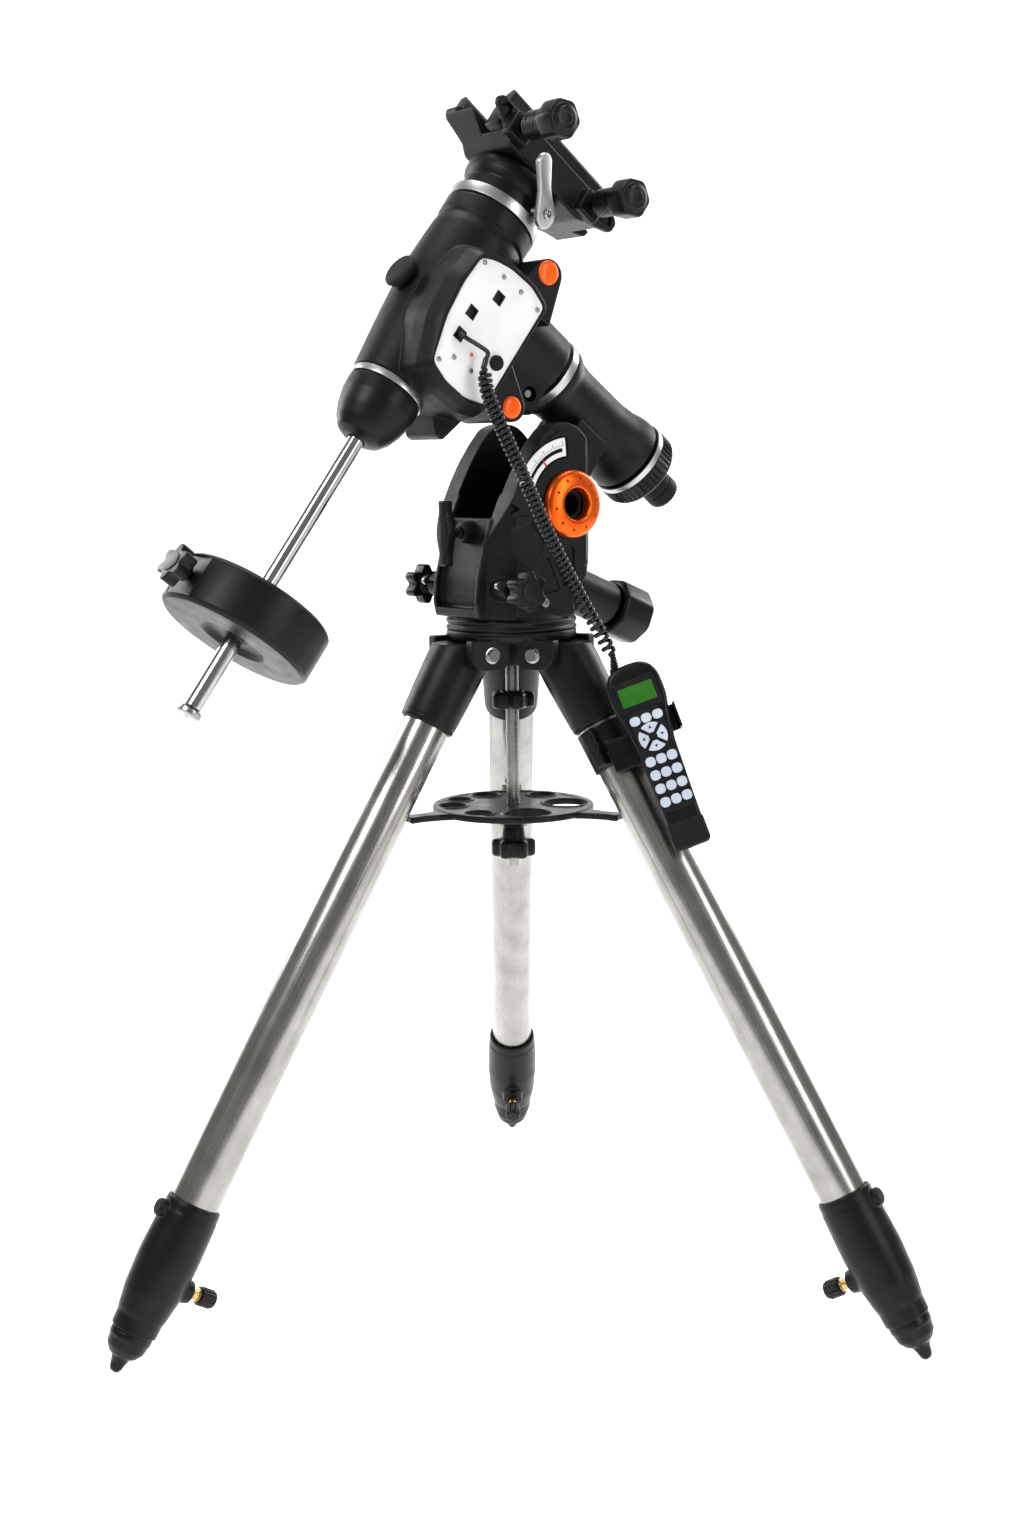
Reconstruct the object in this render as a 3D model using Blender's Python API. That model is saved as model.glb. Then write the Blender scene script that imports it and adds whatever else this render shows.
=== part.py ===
"""A computerised German equatorial telescope mount on a folding steel tripod.

Metres, +Z up.  The tripod axis stands at STAND; the rear leg points along +Y.
Frames (empties) carry the parts: the tripod, each leg, the yoke, the right
ascension (RA) axis and the declination (DEC) axis.
"""
import math

import bmesh
import bpy
from mathutils import Matrix, Vector

# ---------------------------------------------------------------- driving sizes
GAP = 0.0004                      # running gap kept between neighbouring solids
STAND = Vector((0.0, -0.10365, 0.0011))

# tripod
LEG_AZIMUTHS = {"rear": 90.0, "left": 210.0, "right": 330.0}
LEG_TILT = math.radians(30.5)
PIVOT_RADIUS = 0.052              # leg pivot from the tripod axis
PIVOT_HEIGHT = 0.708
LEG_AXIS_OUT = 0.0078             # leg centreline outside its pivot
SOCKET_TOP = 0.020
SOCKET_END = -0.094
TUBE_RADIUS = 0.0254              # two-inch stainless tube
TUBE_TOP = -0.070
TUBE_END = -0.650
CLAMP_TOP = -0.641
CLAMP_END = -0.7815
INNER_RADIUS = 0.0222
INNER_TOP = -0.300
FOOT_END = -0.8262
LOCK_KNOB_AT = -0.728
HEAD_TOP = 0.7295                 # top of the tripod head plate
HEAD_RADIUS = 0.0700
LUG_INNER = 0.0340
LUG_OUTER = 0.0480
ROD_RADIUS = 0.0070
ROD_END = 0.468
MOUNTING_KNOB_TOP = 0.660
TRAY_HEIGHT = 0.530
TRAY_RADIUS = 0.088
TRAY_ARM = 0.1318
TRAY_THICK = 0.007

# head
TURN = math.radians(36.1)         # azimuth of the altitude axle
LATITUDE = math.radians(37.3)
ALT_BACK = 0.0307                 # altitude axle behind the tripod axis
ALT_HEIGHT = 0.8617
RA_ABOVE = 0.1184                 # RA axis above the altitude axle
DEC_ALONG = 0.2184                # DEC axis along the RA axis
ARM_INNER = 0.0385
ARM_OUTER = 0.0640
PEG_Y = -0.050                    # azimuth peg, in the yoke frame
AZIMUTH_SCREW_HEIGHT = 0.775
FRONT_BOLT_HEIGHT = 0.833
REAR_TILT = math.radians(22.0)
REAR_POINT = Vector((0.0, 0.120, 0.7525))
NOSE_RADIUS = 0.0095              # round noses on the altitude tail, where the bolts bear
FRONT_NOSE = 0.0287               # below the altitude axle
REAR_NOSE = 0.0660
FRONT_TIP = -(ALT_BACK - NOSE_RADIUS - GAP)
REAR_TIP = ((ALT_BACK - REAR_POINT.y) * math.cos(REAR_TILT)
            - (ALT_HEIGHT - REAR_NOSE - REAR_POINT.z) * math.sin(REAR_TILT) + NOSE_RADIUS + GAP)
SHAFT_RADIUS = 0.0090             # counterweight shaft
WEIGHT_RADIUS = 0.0810
WEIGHT_TOP = -0.3915
WEIGHT_END = -0.4435

# cord from the control panel to the hand controller
COIL_RADIUS = 0.0078
LEAD_RADIUS = 0.0023


# ---------------------------------------------------------------- scene helpers
def clear_scene():
    for item in list(bpy.data.objects):
        bpy.data.objects.remove(item, do_unlink=True)


def material(name, colour, roughness, metallic=0.0):
    made = bpy.data.materials.new(name)
    made.use_nodes = True
    shader = made.node_tree.nodes["Principled BSDF"]
    shader.inputs["Base Color"].default_value = (*colour, 1.0)
    shader.inputs["Roughness"].default_value = roughness
    shader.inputs["Metallic"].default_value = metallic
    made.diffuse_color = (*colour, 1.0)
    return made


FINISHES = {
    "black_paint": ((0.018, 0.019, 0.021), 0.45, 0.0),
    "black_plastic": ((0.012, 0.012, 0.013), 0.38, 0.0),
    "steel": ((0.62, 0.60, 0.57), 0.28, 1.0),
    "silver": ((0.72, 0.73, 0.74), 0.35, 1.0),
    "orange": ((0.90, 0.22, 0.02), 0.32, 0.0),
    "white_panel": ((0.78, 0.79, 0.80), 0.40, 0.0),
    "brass": ((0.75, 0.55, 0.22), 0.30, 1.0),
    "rubber": ((0.020, 0.020, 0.020), 0.60, 0.0),
    "keys": ((0.72, 0.75, 0.78), 0.45, 0.0),
}


def frame(name, parent, rotation, place):
    """An empty that carries parts: its axes are the rotation's columns."""
    made = bpy.data.objects.new(name, None)
    bpy.context.collection.objects.link(made)
    made.parent = parent
    made.matrix_local = Matrix.Translation(place) @ rotation.to_4x4()
    return made


def columns(x_axis, y_axis, z_axis):
    return Matrix((x_axis, y_axis, z_axis)).transposed()


def facing(z_axis, x_hint=(0.0, 0.0, 1.0)):
    """A rotation whose Z looks along z_axis, with X as near x_hint as it can be."""
    z = Vector(z_axis).normalized()
    x = Vector(x_hint) - Vector(x_hint).dot(z) * z
    if x.length < 1e-6:
        x = z.orthogonal()
    x.normalize()
    return columns(x, z.cross(x), z)


def add_part(name, mesh_parts, parent, finish, place=(0, 0, 0), rotation=None):
    mesh = bpy.data.meshes.new(name)
    mesh_parts.to_mesh(mesh)
    mesh_parts.free()
    mesh.shade_smooth()
    mesh.set_sharp_from_angle(angle=math.radians(35))
    made = bpy.data.objects.new(name, mesh)
    bpy.context.collection.objects.link(made)
    made.parent = parent
    turn = rotation.to_4x4() if rotation else Matrix.Identity(4)
    made.matrix_local = Matrix.Translation(place) @ turn
    if finish:
        colour, roughness, metallic = FINISHES[finish]
        mesh.materials.append(material(name, colour, roughness, metallic))
    return made


def tool(mesh_parts, parent, place=(0, 0, 0), rotation=None):
    """A cutter or a joining shape, which is not a node itself."""
    made = add_part("tool", mesh_parts, parent, None, place, rotation)
    made.hide_render = True
    made.display_type = "WIRE"
    return made


def combine(target, other, operation):
    """A Boolean on triangles, because flat polygons that a cut has bent leave open edges."""
    target.modifiers.new("triangles", "TRIANGULATE")
    step = target.modifiers.new(operation.lower(), "BOOLEAN")
    step.operation = operation
    step.object = other
    return target


def join(target, *others):
    for other in others:
        combine(target, other, "UNION")


def cut(target, *others):
    for other in others:
        combine(target, other, "DIFFERENCE")


def soften(target, width, segments=1):
    step = target.modifiers.new("edges", "BEVEL")
    step.width = width
    step.segments = segments
    step.limit_method = "ANGLE"
    step.angle_limit = math.radians(40)
    return target


# ---------------------------------------------------------------- mesh builders
def turned(profile, steps=20):
    """A solid of revolution about Z from (radius, height) points.

    A closed tube's profile runs round its wall; a solid's starts and ends at radius 0."""
    shape = bmesh.new()
    rings = []
    for radius, height in profile:
        if radius <= 0.0:
            rings.append([shape.verts.new((0, 0, height))])
            continue
        rings.append([
            shape.verts.new((radius * math.cos(2 * math.pi * k / steps),
                             radius * math.sin(2 * math.pi * k / steps), height))
            for k in range(steps)
        ])
    solid = profile[0][0] <= 0.0
    pairs = list(zip(rings, rings[1:]))
    if not solid:
        pairs.append((rings[-1], rings[0]))
    for above, below in pairs:
        for k in range(steps):
            nxt = (k + 1) % steps
            if len(above) == 1:
                shape.faces.new((above[0], below[k], below[nxt]))
            elif len(below) == 1:
                shape.faces.new((above[k], below[0], above[nxt]))
            else:
                shape.faces.new((above[k], below[k], below[nxt], above[nxt]))
    bmesh.ops.recalc_face_normals(shape, faces=shape.faces)
    return shape


def rod(radius, low, high, steps=14):
    return turned([(0, high), (radius, high), (radius, low), (0, low)], steps)


def pipe(outer, inner, low, high, steps=20):
    return turned([(outer, high), (outer, low), (inner, low), (inner, high)], steps)


def slab(outline, low, high):
    """An outline in X and Y, extruded from low to high along Z."""
    shape = bmesh.new()
    bottom = [shape.verts.new((x, y, low)) for x, y in outline]
    face = shape.faces.new(bottom)
    made = bmesh.ops.extrude_face_region(shape, geom=[face])
    top = [item for item in made["geom"] if isinstance(item, bmesh.types.BMVert)]
    bmesh.ops.translate(shape, verts=top, vec=(0, 0, high - low))
    bmesh.ops.recalc_face_normals(shape, faces=shape.faces)
    return shape


def block(low, high):
    shape = bmesh.new()
    size = Vector(high) - Vector(low)
    middle = (Vector(high) + Vector(low)) / 2
    bmesh.ops.create_cube(
        shape, size=1.0,
        matrix=Matrix.Translation(middle) @ Matrix.Diagonal((*size, 1.0)))
    return shape


def arc(centre, radius, start, end, count):
    """Points on an arc; start and end are in degrees."""
    return [
        (centre[0] + radius * math.cos(math.radians(start + (end - start) * k / (count - 1))),
         centre[1] + radius * math.sin(math.radians(start + (end - start) * k / (count - 1))))
        for k in range(count)
    ]


def star(radius, depth, lobes, points=5):
    """The outline of a lobed knob."""
    count = lobes * points
    outline = []
    for k in range(count):
        angle = 2 * math.pi * k / count
        reach = radius - depth * (0.5 - 0.5 * math.cos(lobes * angle)) ** 1.3
        outline.append((reach * math.cos(angle), reach * math.sin(angle)))
    return outline


def rounded(width, height, radius, points=4):
    """A rounded rectangle about the origin."""
    outline = []
    for side_x, side_y, start in ((1, 1, 0), (-1, 1, 90), (-1, -1, 180), (1, -1, 270)):
        centre = (side_x * (width / 2 - radius), side_y * (height / 2 - radius))
        outline += arc(centre, radius, start, start + 90, points)
    return outline


def lofted(sections):
    """A solid through outlines of equal length, each a list of 3-D points."""
    shape = bmesh.new()
    rings = [[shape.verts.new(point) for point in section] for section in sections]
    for lower, upper in zip(rings, rings[1:]):
        for k, corner in enumerate(lower):
            nxt = (k + 1) % len(lower)
            shape.faces.new((corner, lower[nxt], upper[nxt], upper[k]))
    shape.faces.new(rings[0])
    shape.faces.new(rings[-1])
    bmesh.ops.recalc_face_normals(shape, faces=shape.faces)
    return shape


# ---------------------------------------------------------------- frames
X, Y, Z = Vector((1, 0, 0)), Vector((0, 1, 0)), Vector((0, 0, 1))
SIDE = facing((1, 0, 0), (0, 1, 0))      # extrusions along X: outline X is Y, outline Y is Z


def make_frames():
    frames = {"stand": frame("stand", None, Matrix.Identity(3), STAND)}
    stand = frames["stand"]
    for side, azimuth in LEG_AZIMUTHS.items():
        turn = Matrix.Rotation(math.radians(azimuth), 3, "Z")
        frames["radial_" + side] = frame("radial_" + side, stand, turn, (0, 0, 0))
        place = turn @ Vector((PIVOT_RADIUS, 0, PIVOT_HEIGHT))
        tilt = turn @ Matrix.Rotation(-LEG_TILT, 3, "Y")
        frames["leg_" + side] = frame("leg_frame_" + side, stand, tilt, place)
    yoke_turn = Matrix.Rotation(TURN - math.pi / 2, 3, "Z")
    yoke = frame("yoke", stand, yoke_turn, (0, 0, 0))
    along = Vector((0, -math.cos(LATITUDE), math.sin(LATITUDE)))
    above = Vector((0, math.sin(LATITUDE), math.cos(LATITUDE)))
    altitude = frame("altitude", yoke, columns(X, above, along), (0, ALT_BACK, ALT_HEIGHT))
    ra = frame("ra", altitude, Matrix.Identity(3), (0, RA_ABOVE, 0))
    dec = frame("dec", ra, columns(X, -Z, Y), (0, 0, DEC_ALONG))
    frames.update(yoke=yoke, altitude=altitude, ra=ra, dec=dec)
    return frames


# ---------------------------------------------------------------- tripod
def make_head(frames):
    stand = frames["stand"]
    plate = [
        (0, HEAD_TOP), (HEAD_RADIUS, HEAD_TOP), (HEAD_RADIUS, HEAD_TOP - 0.006),
        (0.066, HEAD_TOP - 0.0115), (0.0225, HEAD_TOP - 0.0115), (0.0225, 0.690), (0, 0.690),
    ]
    head = add_part("tripod_head", turned(plate, 36), stand, "black_paint")
    for side in LEG_AZIMUTHS:
        for sign in (1, -1):
            outline = [(0.030, 0.722), (0.076, 0.722), (0.076, 0.706)]
            outline += arc((0.060, 0.706), 0.016, 0, -90, 4)[1:] + [(0.036, 0.690), (0.030, 0.700)]
            lug = tool(slab(outline, -0.007, 0.007), frames["radial_" + side],
                       (0, sign * (LUG_INNER + LUG_OUTER) / 2, 0),
                       columns(X, Z, -Y))
            join(head, lug)
    cut(head, tool(rod(ROD_RADIUS + 0.0010, 0.680, 0.7280, 12), stand))
    peg = tool(rod(0.0065, HEAD_TOP - 0.004, 0.784, 12), frames["yoke"], (0, PEG_Y, 0))
    join(head, peg)
    add_part("mounting_rod", rod(ROD_RADIUS, ROD_END, 0.7272, 12), stand, "steel")
    knob = add_part("mounting_knob", slab(star(0.0245, 0.006, 5), 0.643, MOUNTING_KNOB_TOP),
                    stand, "black_plastic")
    soften(knob, 0.0025)
    cut(knob, tool(rod(ROD_RADIUS + GAP, 0.6, 0.7, 12), stand))


def leg_cutter(frames, side):
    """Half-spaces that trim a socket under the head plate, upright and folded."""
    radial = frames["radial_" + side]
    ceiling = HEAD_TOP - 0.0115 - 0.0010
    flat = tool(block((-0.08, -0.08, 0), (0.18, 0.08, 0.06)), radial, (0, 0, ceiling))
    folded = tool(block((-0.12, -0.08, ceiling - PIVOT_HEIGHT), (0.05, 0.08, 0.07)), radial,
                  (PIVOT_RADIUS, 0, PIVOT_HEIGHT), Matrix.Rotation(math.radians(-20), 3, "Y"))
    return flat, folded


def make_leg(frames, side):
    leg = frames["leg_" + side]
    axis = (LEG_AXIS_OUT, 0, 0)
    socket = add_part("leg_socket_" + side, turned([
        (0.0305, SOCKET_TOP + 0.018), (0.0325, SOCKET_TOP), (0.0325, -0.030), (0.0315, -0.060),
        (0.0300, SOCKET_END + 0.004), (0.0290, SOCKET_END), (TUBE_RADIUS + GAP, SOCKET_END),
        (TUBE_RADIUS + GAP, TUBE_TOP + 0.001), (0.012, TUBE_TOP + 0.001),
        (0.012, SOCKET_TOP + 0.018),
    ], 20), leg, "black_paint")
    # the wall pieces of the profile are placed about the leg's own centreline
    socket.matrix_local = Matrix.Translation(axis)
    pin = tool(rod(0.0130, -LUG_INNER + GAP, LUG_INNER - GAP, 14), leg, (0, 0, 0),
               facing((0, 1, 0)))
    join(socket, pin)
    cut(socket, *leg_cutter(frames, side))

    add_part("leg_tube_" + side, pipe(TUBE_RADIUS, 0.0236, TUBE_END, TUBE_TOP, 24), leg,
             "steel", axis)

    clamp = add_part("leg_clamp_" + side, turned([
        (0.0285, CLAMP_TOP), (0.0292, CLAMP_TOP - 0.004), (0.0312, -0.680), (0.0318, -0.705),
        (0.0298, -0.740), (0.0262, -0.762), (0.0244, CLAMP_END), (INNER_RADIUS + GAP, CLAMP_END),
        (INNER_RADIUS + GAP, TUBE_END - 0.001), (TUBE_RADIUS + GAP, TUBE_END - 0.001),
        (TUBE_RADIUS + GAP, CLAMP_TOP),
    ], 18), leg, "black_paint", axis)
    inward = facing((-1, 0, 0), (0, 0, 1))
    boss = tool(turned([(0.0120, 0.0395), (0.0135, 0.0280), (0.0150, 0.0260),
                        (0.0040, 0.0260), (0.0040, 0.0395)], 12),
                leg, (LEG_AXIS_OUT, 0, LOCK_KNOB_AT), inward)
    cap = tool(turned([(0, 0.0375), (0.0080, 0.0375), (0.0095, 0.0355), (0.0095, 0.0270),
                       (0, 0.0270)], 10),
               leg, (LEG_AXIS_OUT, 0, CLAMP_TOP - 0.016), facing((1, 0, 0), (0, 0, 1)))
    join(clamp, boss, cap)
    cut(clamp, tool(rod(0.0050, 0.0235, 0.05, 10), leg,
                    (LEG_AXIS_OUT, 0, LOCK_KNOB_AT), inward))

    foot_profile = [
        (0, INNER_TOP), (INNER_RADIUS, INNER_TOP), (INNER_RADIUS, CLAMP_END - 0.008),
        (0.0200, CLAMP_END - 0.019), (0.0150, CLAMP_END - 0.026),
        (0.0098, CLAMP_END - 0.029), (0.0075, FOOT_END + 0.006), (0.0060, FOOT_END + 0.0024),
        (0.0030, FOOT_END + 0.0004), (0, FOOT_END),
    ]
    add_part("leg_foot_" + side, turned(foot_profile, 18), leg, "black_plastic", axis)

    add_part("leg_lock_knob_" + side, turned([
        (0, 0.0690), (0.0085, 0.0690), (0.0100, 0.0675), (0.0100, 0.0510), (0.0088, 0.0495),
        (0.0055, 0.0490), (0.0055, 0.0425), (0.0044, 0.0420), (0.0044, 0.0262), (0, 0.0262),
    ], 12), leg, "brass", (LEG_AXIS_OUT, 0, LOCK_KNOB_AT), inward)


def make_tray(frames):
    stand = frames["stand"]
    low, high = TRAY_HEIGHT, TRAY_HEIGHT + TRAY_THICK
    tray = add_part("accessory_tray", turned([
        (0, high), (TRAY_RADIUS - 0.001, high), (TRAY_RADIUS, high - 0.001), (TRAY_RADIUS, low),
        (0.050, low), (0.020, low - 0.014), (0.014, low - 0.018), (0, low - 0.018),
    ], 28), stand, "black_plastic")
    for azimuth in LEG_AZIMUTHS.values():
        turn = Matrix.Rotation(math.radians(azimuth), 3, "Z")
        arm = slab([(0.070, -0.023), (0.095, -0.012), (0.116, -0.009), (TRAY_ARM, -0.012),
                    (TRAY_ARM - 0.0012, 0.0), (TRAY_ARM, 0.012), (0.116, 0.009), (0.095, 0.012),
                    (0.070, 0.023)], low - 0.001, high - 0.0012)
        join(tray, tool(arm, stand, (0, 0, 0), turn))
    holes = [(0.0600, -76.0, 0.0250), (0.0580, 4.0, 0.0240), (0.0665, 60.0, 0.0152),
             (0.0665, 117.0, 0.0152), (0.0665, 152.0, 0.0130), (0.0665, 186.0, 0.0152),
             (0.0665, 236.0, 0.0152)]
    for reach, angle, radius in holes:
        place = (reach * math.cos(math.radians(angle)), reach * math.sin(math.radians(angle)), 0)
        cut(tray, tool(rod(radius, low - 0.02, high + 0.01, 12), stand, place))
    cut(tray, tool(rod(ROD_RADIUS + GAP, 0.4, 0.6, 12), stand))
    knob = add_part("tray_knob", slab(star(0.0240, 0.006, 6), 0.4785, 0.4975), stand,
                    "black_plastic")
    soften(knob, 0.0025)
    join(knob, tool(rod(0.0115, 0.4960, 0.5105, 12), stand))
    cut(knob, tool(rod(ROD_RADIUS + GAP, 0.4, 0.6, 12), stand))


# ---------------------------------------------------------------- yoke
ARM_OUTLINE = [
    (0.040, 0.744), (0.034, 0.760), (0.050, 0.780), (0.066, 0.806), (0.0725, 0.832),
    (0.0725, 0.880), (0.0670, 0.908), (0.0560, 0.930), (0.0400, 0.944), (0.0220, 0.9475),
    (0.006, 0.942), (-0.010, 0.925), (-0.026, 0.900), (-0.042, 0.870), (-0.058, 0.835),
    (-0.070, 0.800), (-0.073, 0.770), (-0.070, 0.744),
]
WEB_OUTLINE = [
    (-0.071, 0.744), (-0.0745, 0.760), (-0.072, 0.785), (-0.0560, 0.846), (-0.044, 0.849),
    (-0.042, 0.838), (-0.054, 0.786), (-0.055, 0.744),
]
WAIST_RADIUS = 0.0790             # the fork's arms are rounded about this upright cylinder
WAIST_BACK = 0.006


def make_yoke(frames):
    yoke = frames["yoke"]
    fork = add_part("azimuth_fork", turned([
        (0.030, HEAD_TOP + GAP), (0.030, 0.751), (0.063, 0.751), (0.0665, 0.744),
        (0.0690, 0.741), (0.0705, 0.739), (0.0705, HEAD_TOP + GAP),
    ], 24), yoke, "black_paint")
    for sign in (1, -1):
        near, far = sorted((sign * (ARM_INNER - 0.004), sign * ARM_OUTER))
        arm = tool(slab(ARM_OUTLINE, near, far), yoke, (0, 0, 0), SIDE)
        soften(arm, 0.0035)
        waist = tool(rod(WAIST_RADIUS, 0.70, 1.00, 36), yoke, (0, WAIST_BACK, 0))
        combine(arm, waist, "INTERSECT")
        join(fork, arm)
    web = tool(slab(WEB_OUTLINE, -0.0403, 0.0403), yoke, (0, 0, 0), SIDE)
    soften(web, 0.003)
    rear_web = tool(block((-0.0455, 0.031, 0.7455), (0.0455, 0.0575, 0.7725)), yoke)
    bolt_boss = tool(rod(0.0115, 0.0505, 0.0655, 12), yoke, (0, 0, FRONT_BOLT_HEIGHT),
                     facing((0, -1, 0)))
    join(fork, web, rear_web, bolt_boss)
    out = Vector((0, math.cos(REAR_TILT), -math.sin(REAR_TILT)))
    rear = facing(out, (1, 0, 0))
    tube = tool(turned([(0, 0.0138), (0.0235, 0.0138), (0.0250, 0.012), (0.0250, -0.076),
                        (0, -0.076)], 24), yoke, REAR_POINT, rear)
    join(fork, tube)
    for sign in (1, -1):
        boss = tool(rod(0.0120, 0.0450, ARM_OUTER + 0.006, 12), yoke,
                    (0, PEG_Y, AZIMUTH_SCREW_HEIGHT), facing((sign, 0, 0)))
        hub = tool(rod(0.0370, 0.0430, ARM_OUTER + 0.0002, 24), yoke,
                   (0, ALT_BACK, ALT_HEIGHT), facing((sign, 0, 0), (0, 1, 0)))
        join(fork, boss, hub)
    cavity = tool(block((-ARM_INNER, -0.0600, 0.7515), (ARM_INNER, 0.0295, 0.80)), yoke)
    slot = tool(block((-0.020, -0.064, 0.72), (0.020, -0.036, 0.76)), yoke)
    throat = tool(block((-ARM_INNER, -0.040, 0.779), (ARM_INNER, 0.080, 0.96)), yoke)
    cut(fork, cavity, slot, throat)
    cut(fork, tool(rod(0.0100, -0.10, 0.0165, 15), yoke, REAR_POINT, rear))
    cut(fork, tool(rod(0.0062, 0.0, 0.12, 12), yoke, (0, 0, FRONT_BOLT_HEIGHT),
                   facing((0, -1, 0))))
    cut(fork, tool(rod(0.0056, -0.10, 0.10, 12), yoke, (0, PEG_Y, AZIMUTH_SCREW_HEIGHT),
                   facing((1, 0, 0))))
    cut(fork, tool(rod(0.0124, -0.10, 0.10, 16), yoke, (0, ALT_BACK, ALT_HEIGHT),
                   facing((1, 0, 0))))
    recess = tool(slab(scale_outline(0.0485, 0.0705), ARM_OUTER - 0.0025, 0.10), yoke,
                  (0, ALT_BACK, ALT_HEIGHT), SIDE)
    cut(fork, recess)

    axle = facing((1, 0, 0), (0, 1, 0))
    add_part("altitude_axle", rod(0.0120, -ARM_OUTER - 0.0005, ARM_OUTER + 0.0005, 16), yoke,
             "steel", (0, ALT_BACK, ALT_HEIGHT), axle)
    for side, sign in (("right", 1), ("left", -1)):
        add_part("altitude_cap_" + side, turned([
            (0.0345, ARM_OUTER + 0.0010), (0.0355, ARM_OUTER + 0.0030), (0.0340, 0.0730),
            (0.0300, 0.0750), (0.0205, 0.0775), (0.0172, 0.0770), (0.0165, 0.0750),
            (0.0165, ARM_OUTER + 0.0010),
        ], 20), yoke, "orange", (0, ALT_BACK, ALT_HEIGHT), facing((sign, 0, 0), (0, 1, 0)))
    scale = add_part("latitude_scale", slab(scale_outline(0.0495, 0.0690), ARM_OUTER - 0.0020,
                                            ARM_OUTER - 0.0006),
                     yoke, "white_panel", (0, ALT_BACK, ALT_HEIGHT), SIDE)
    scale.data.materials[0].name = "latitude_scale"

    for side, sign in (("right", 1), ("left", -1)):
        knob = add_part("azimuth_knob_" + side, slab(star(0.0215, 0.0065, 6), 0.0850, 0.1010),
                        yoke, "black_plastic", (0, PEG_Y, AZIMUTH_SCREW_HEIGHT),
                        facing((sign, 0, 0)))
        soften(knob, 0.003)
        screw = tool(turned([(0, 0.088), (0.0095, 0.088), (0.0095, 0.0800), (0.0050, 0.0790),
                             (0.0050, 0.0078), (0, 0.0078)], 10), yoke,
                     (0, PEG_Y, AZIMUTH_SCREW_HEIGHT), facing((sign, 0, 0)))
        join(knob, screw)

    make_front_bolt(yoke)
    make_rear_screw(yoke, rear)


def scale_outline(inner, outer):
    """The latitude scale: a curved plate about the altitude axle."""
    return (arc((0, 0), outer, 94, 162, 10) + arc((0, 0), inner, 162, 94, 10))


def make_front_bolt(yoke):
    """The T-handled bolt that presses the altitude casting from the front."""
    grip = [(-0.0340, -0.0045), (-0.0330, -0.0062), (-0.0190, -0.0062), (-0.0090, -0.0095),
            (0.0, -0.0105), (0.0090, -0.0095), (0.0190, -0.0062), (0.0330, -0.0062),
            (0.0340, -0.0045)]
    outline = grip + [(x, -y) for x, y in reversed(grip)]
    bolt = add_part("front_altitude_bolt", slab(outline, 0.0790, 0.0900), yoke, "black_plastic",
                    (0, 0, FRONT_BOLT_HEIGHT), facing((0, -1, 0), (0, 0, 1)))
    soften(bolt, 0.002)
    shank = tool(turned([(0, 0.0840), (0.0085, 0.0840), (0.0085, 0.0765), (0.0055, 0.0755),
                         (0.0055, FRONT_TIP + 0.0030), (0.0030, FRONT_TIP + 0.0015),
                         (0.0030, FRONT_TIP), (0, FRONT_TIP)], 12), yoke,
                 (0, 0, FRONT_BOLT_HEIGHT), facing((0, -1, 0)))
    join(bolt, shank)


def make_rear_screw(yoke, rear):
    """The large octagonal knob whose cup runs over the rear tube."""
    octagon = arc((0, 0), 0.0335, 22.5, 337.5, 8)
    knob = add_part("rear_altitude_knob", slab(octagon, 0.0160, 0.0600), yoke, "black_plastic",
                    REAR_POINT, rear)
    soften(knob, 0.003)
    cut(knob, tool(rod(0.0258, 0.0, 0.0520, 20), yoke, REAR_POINT, rear))
    join(knob, tool(rod(0.0080, REAR_TIP, 0.0540, 12), yoke, REAR_POINT, rear))


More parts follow.
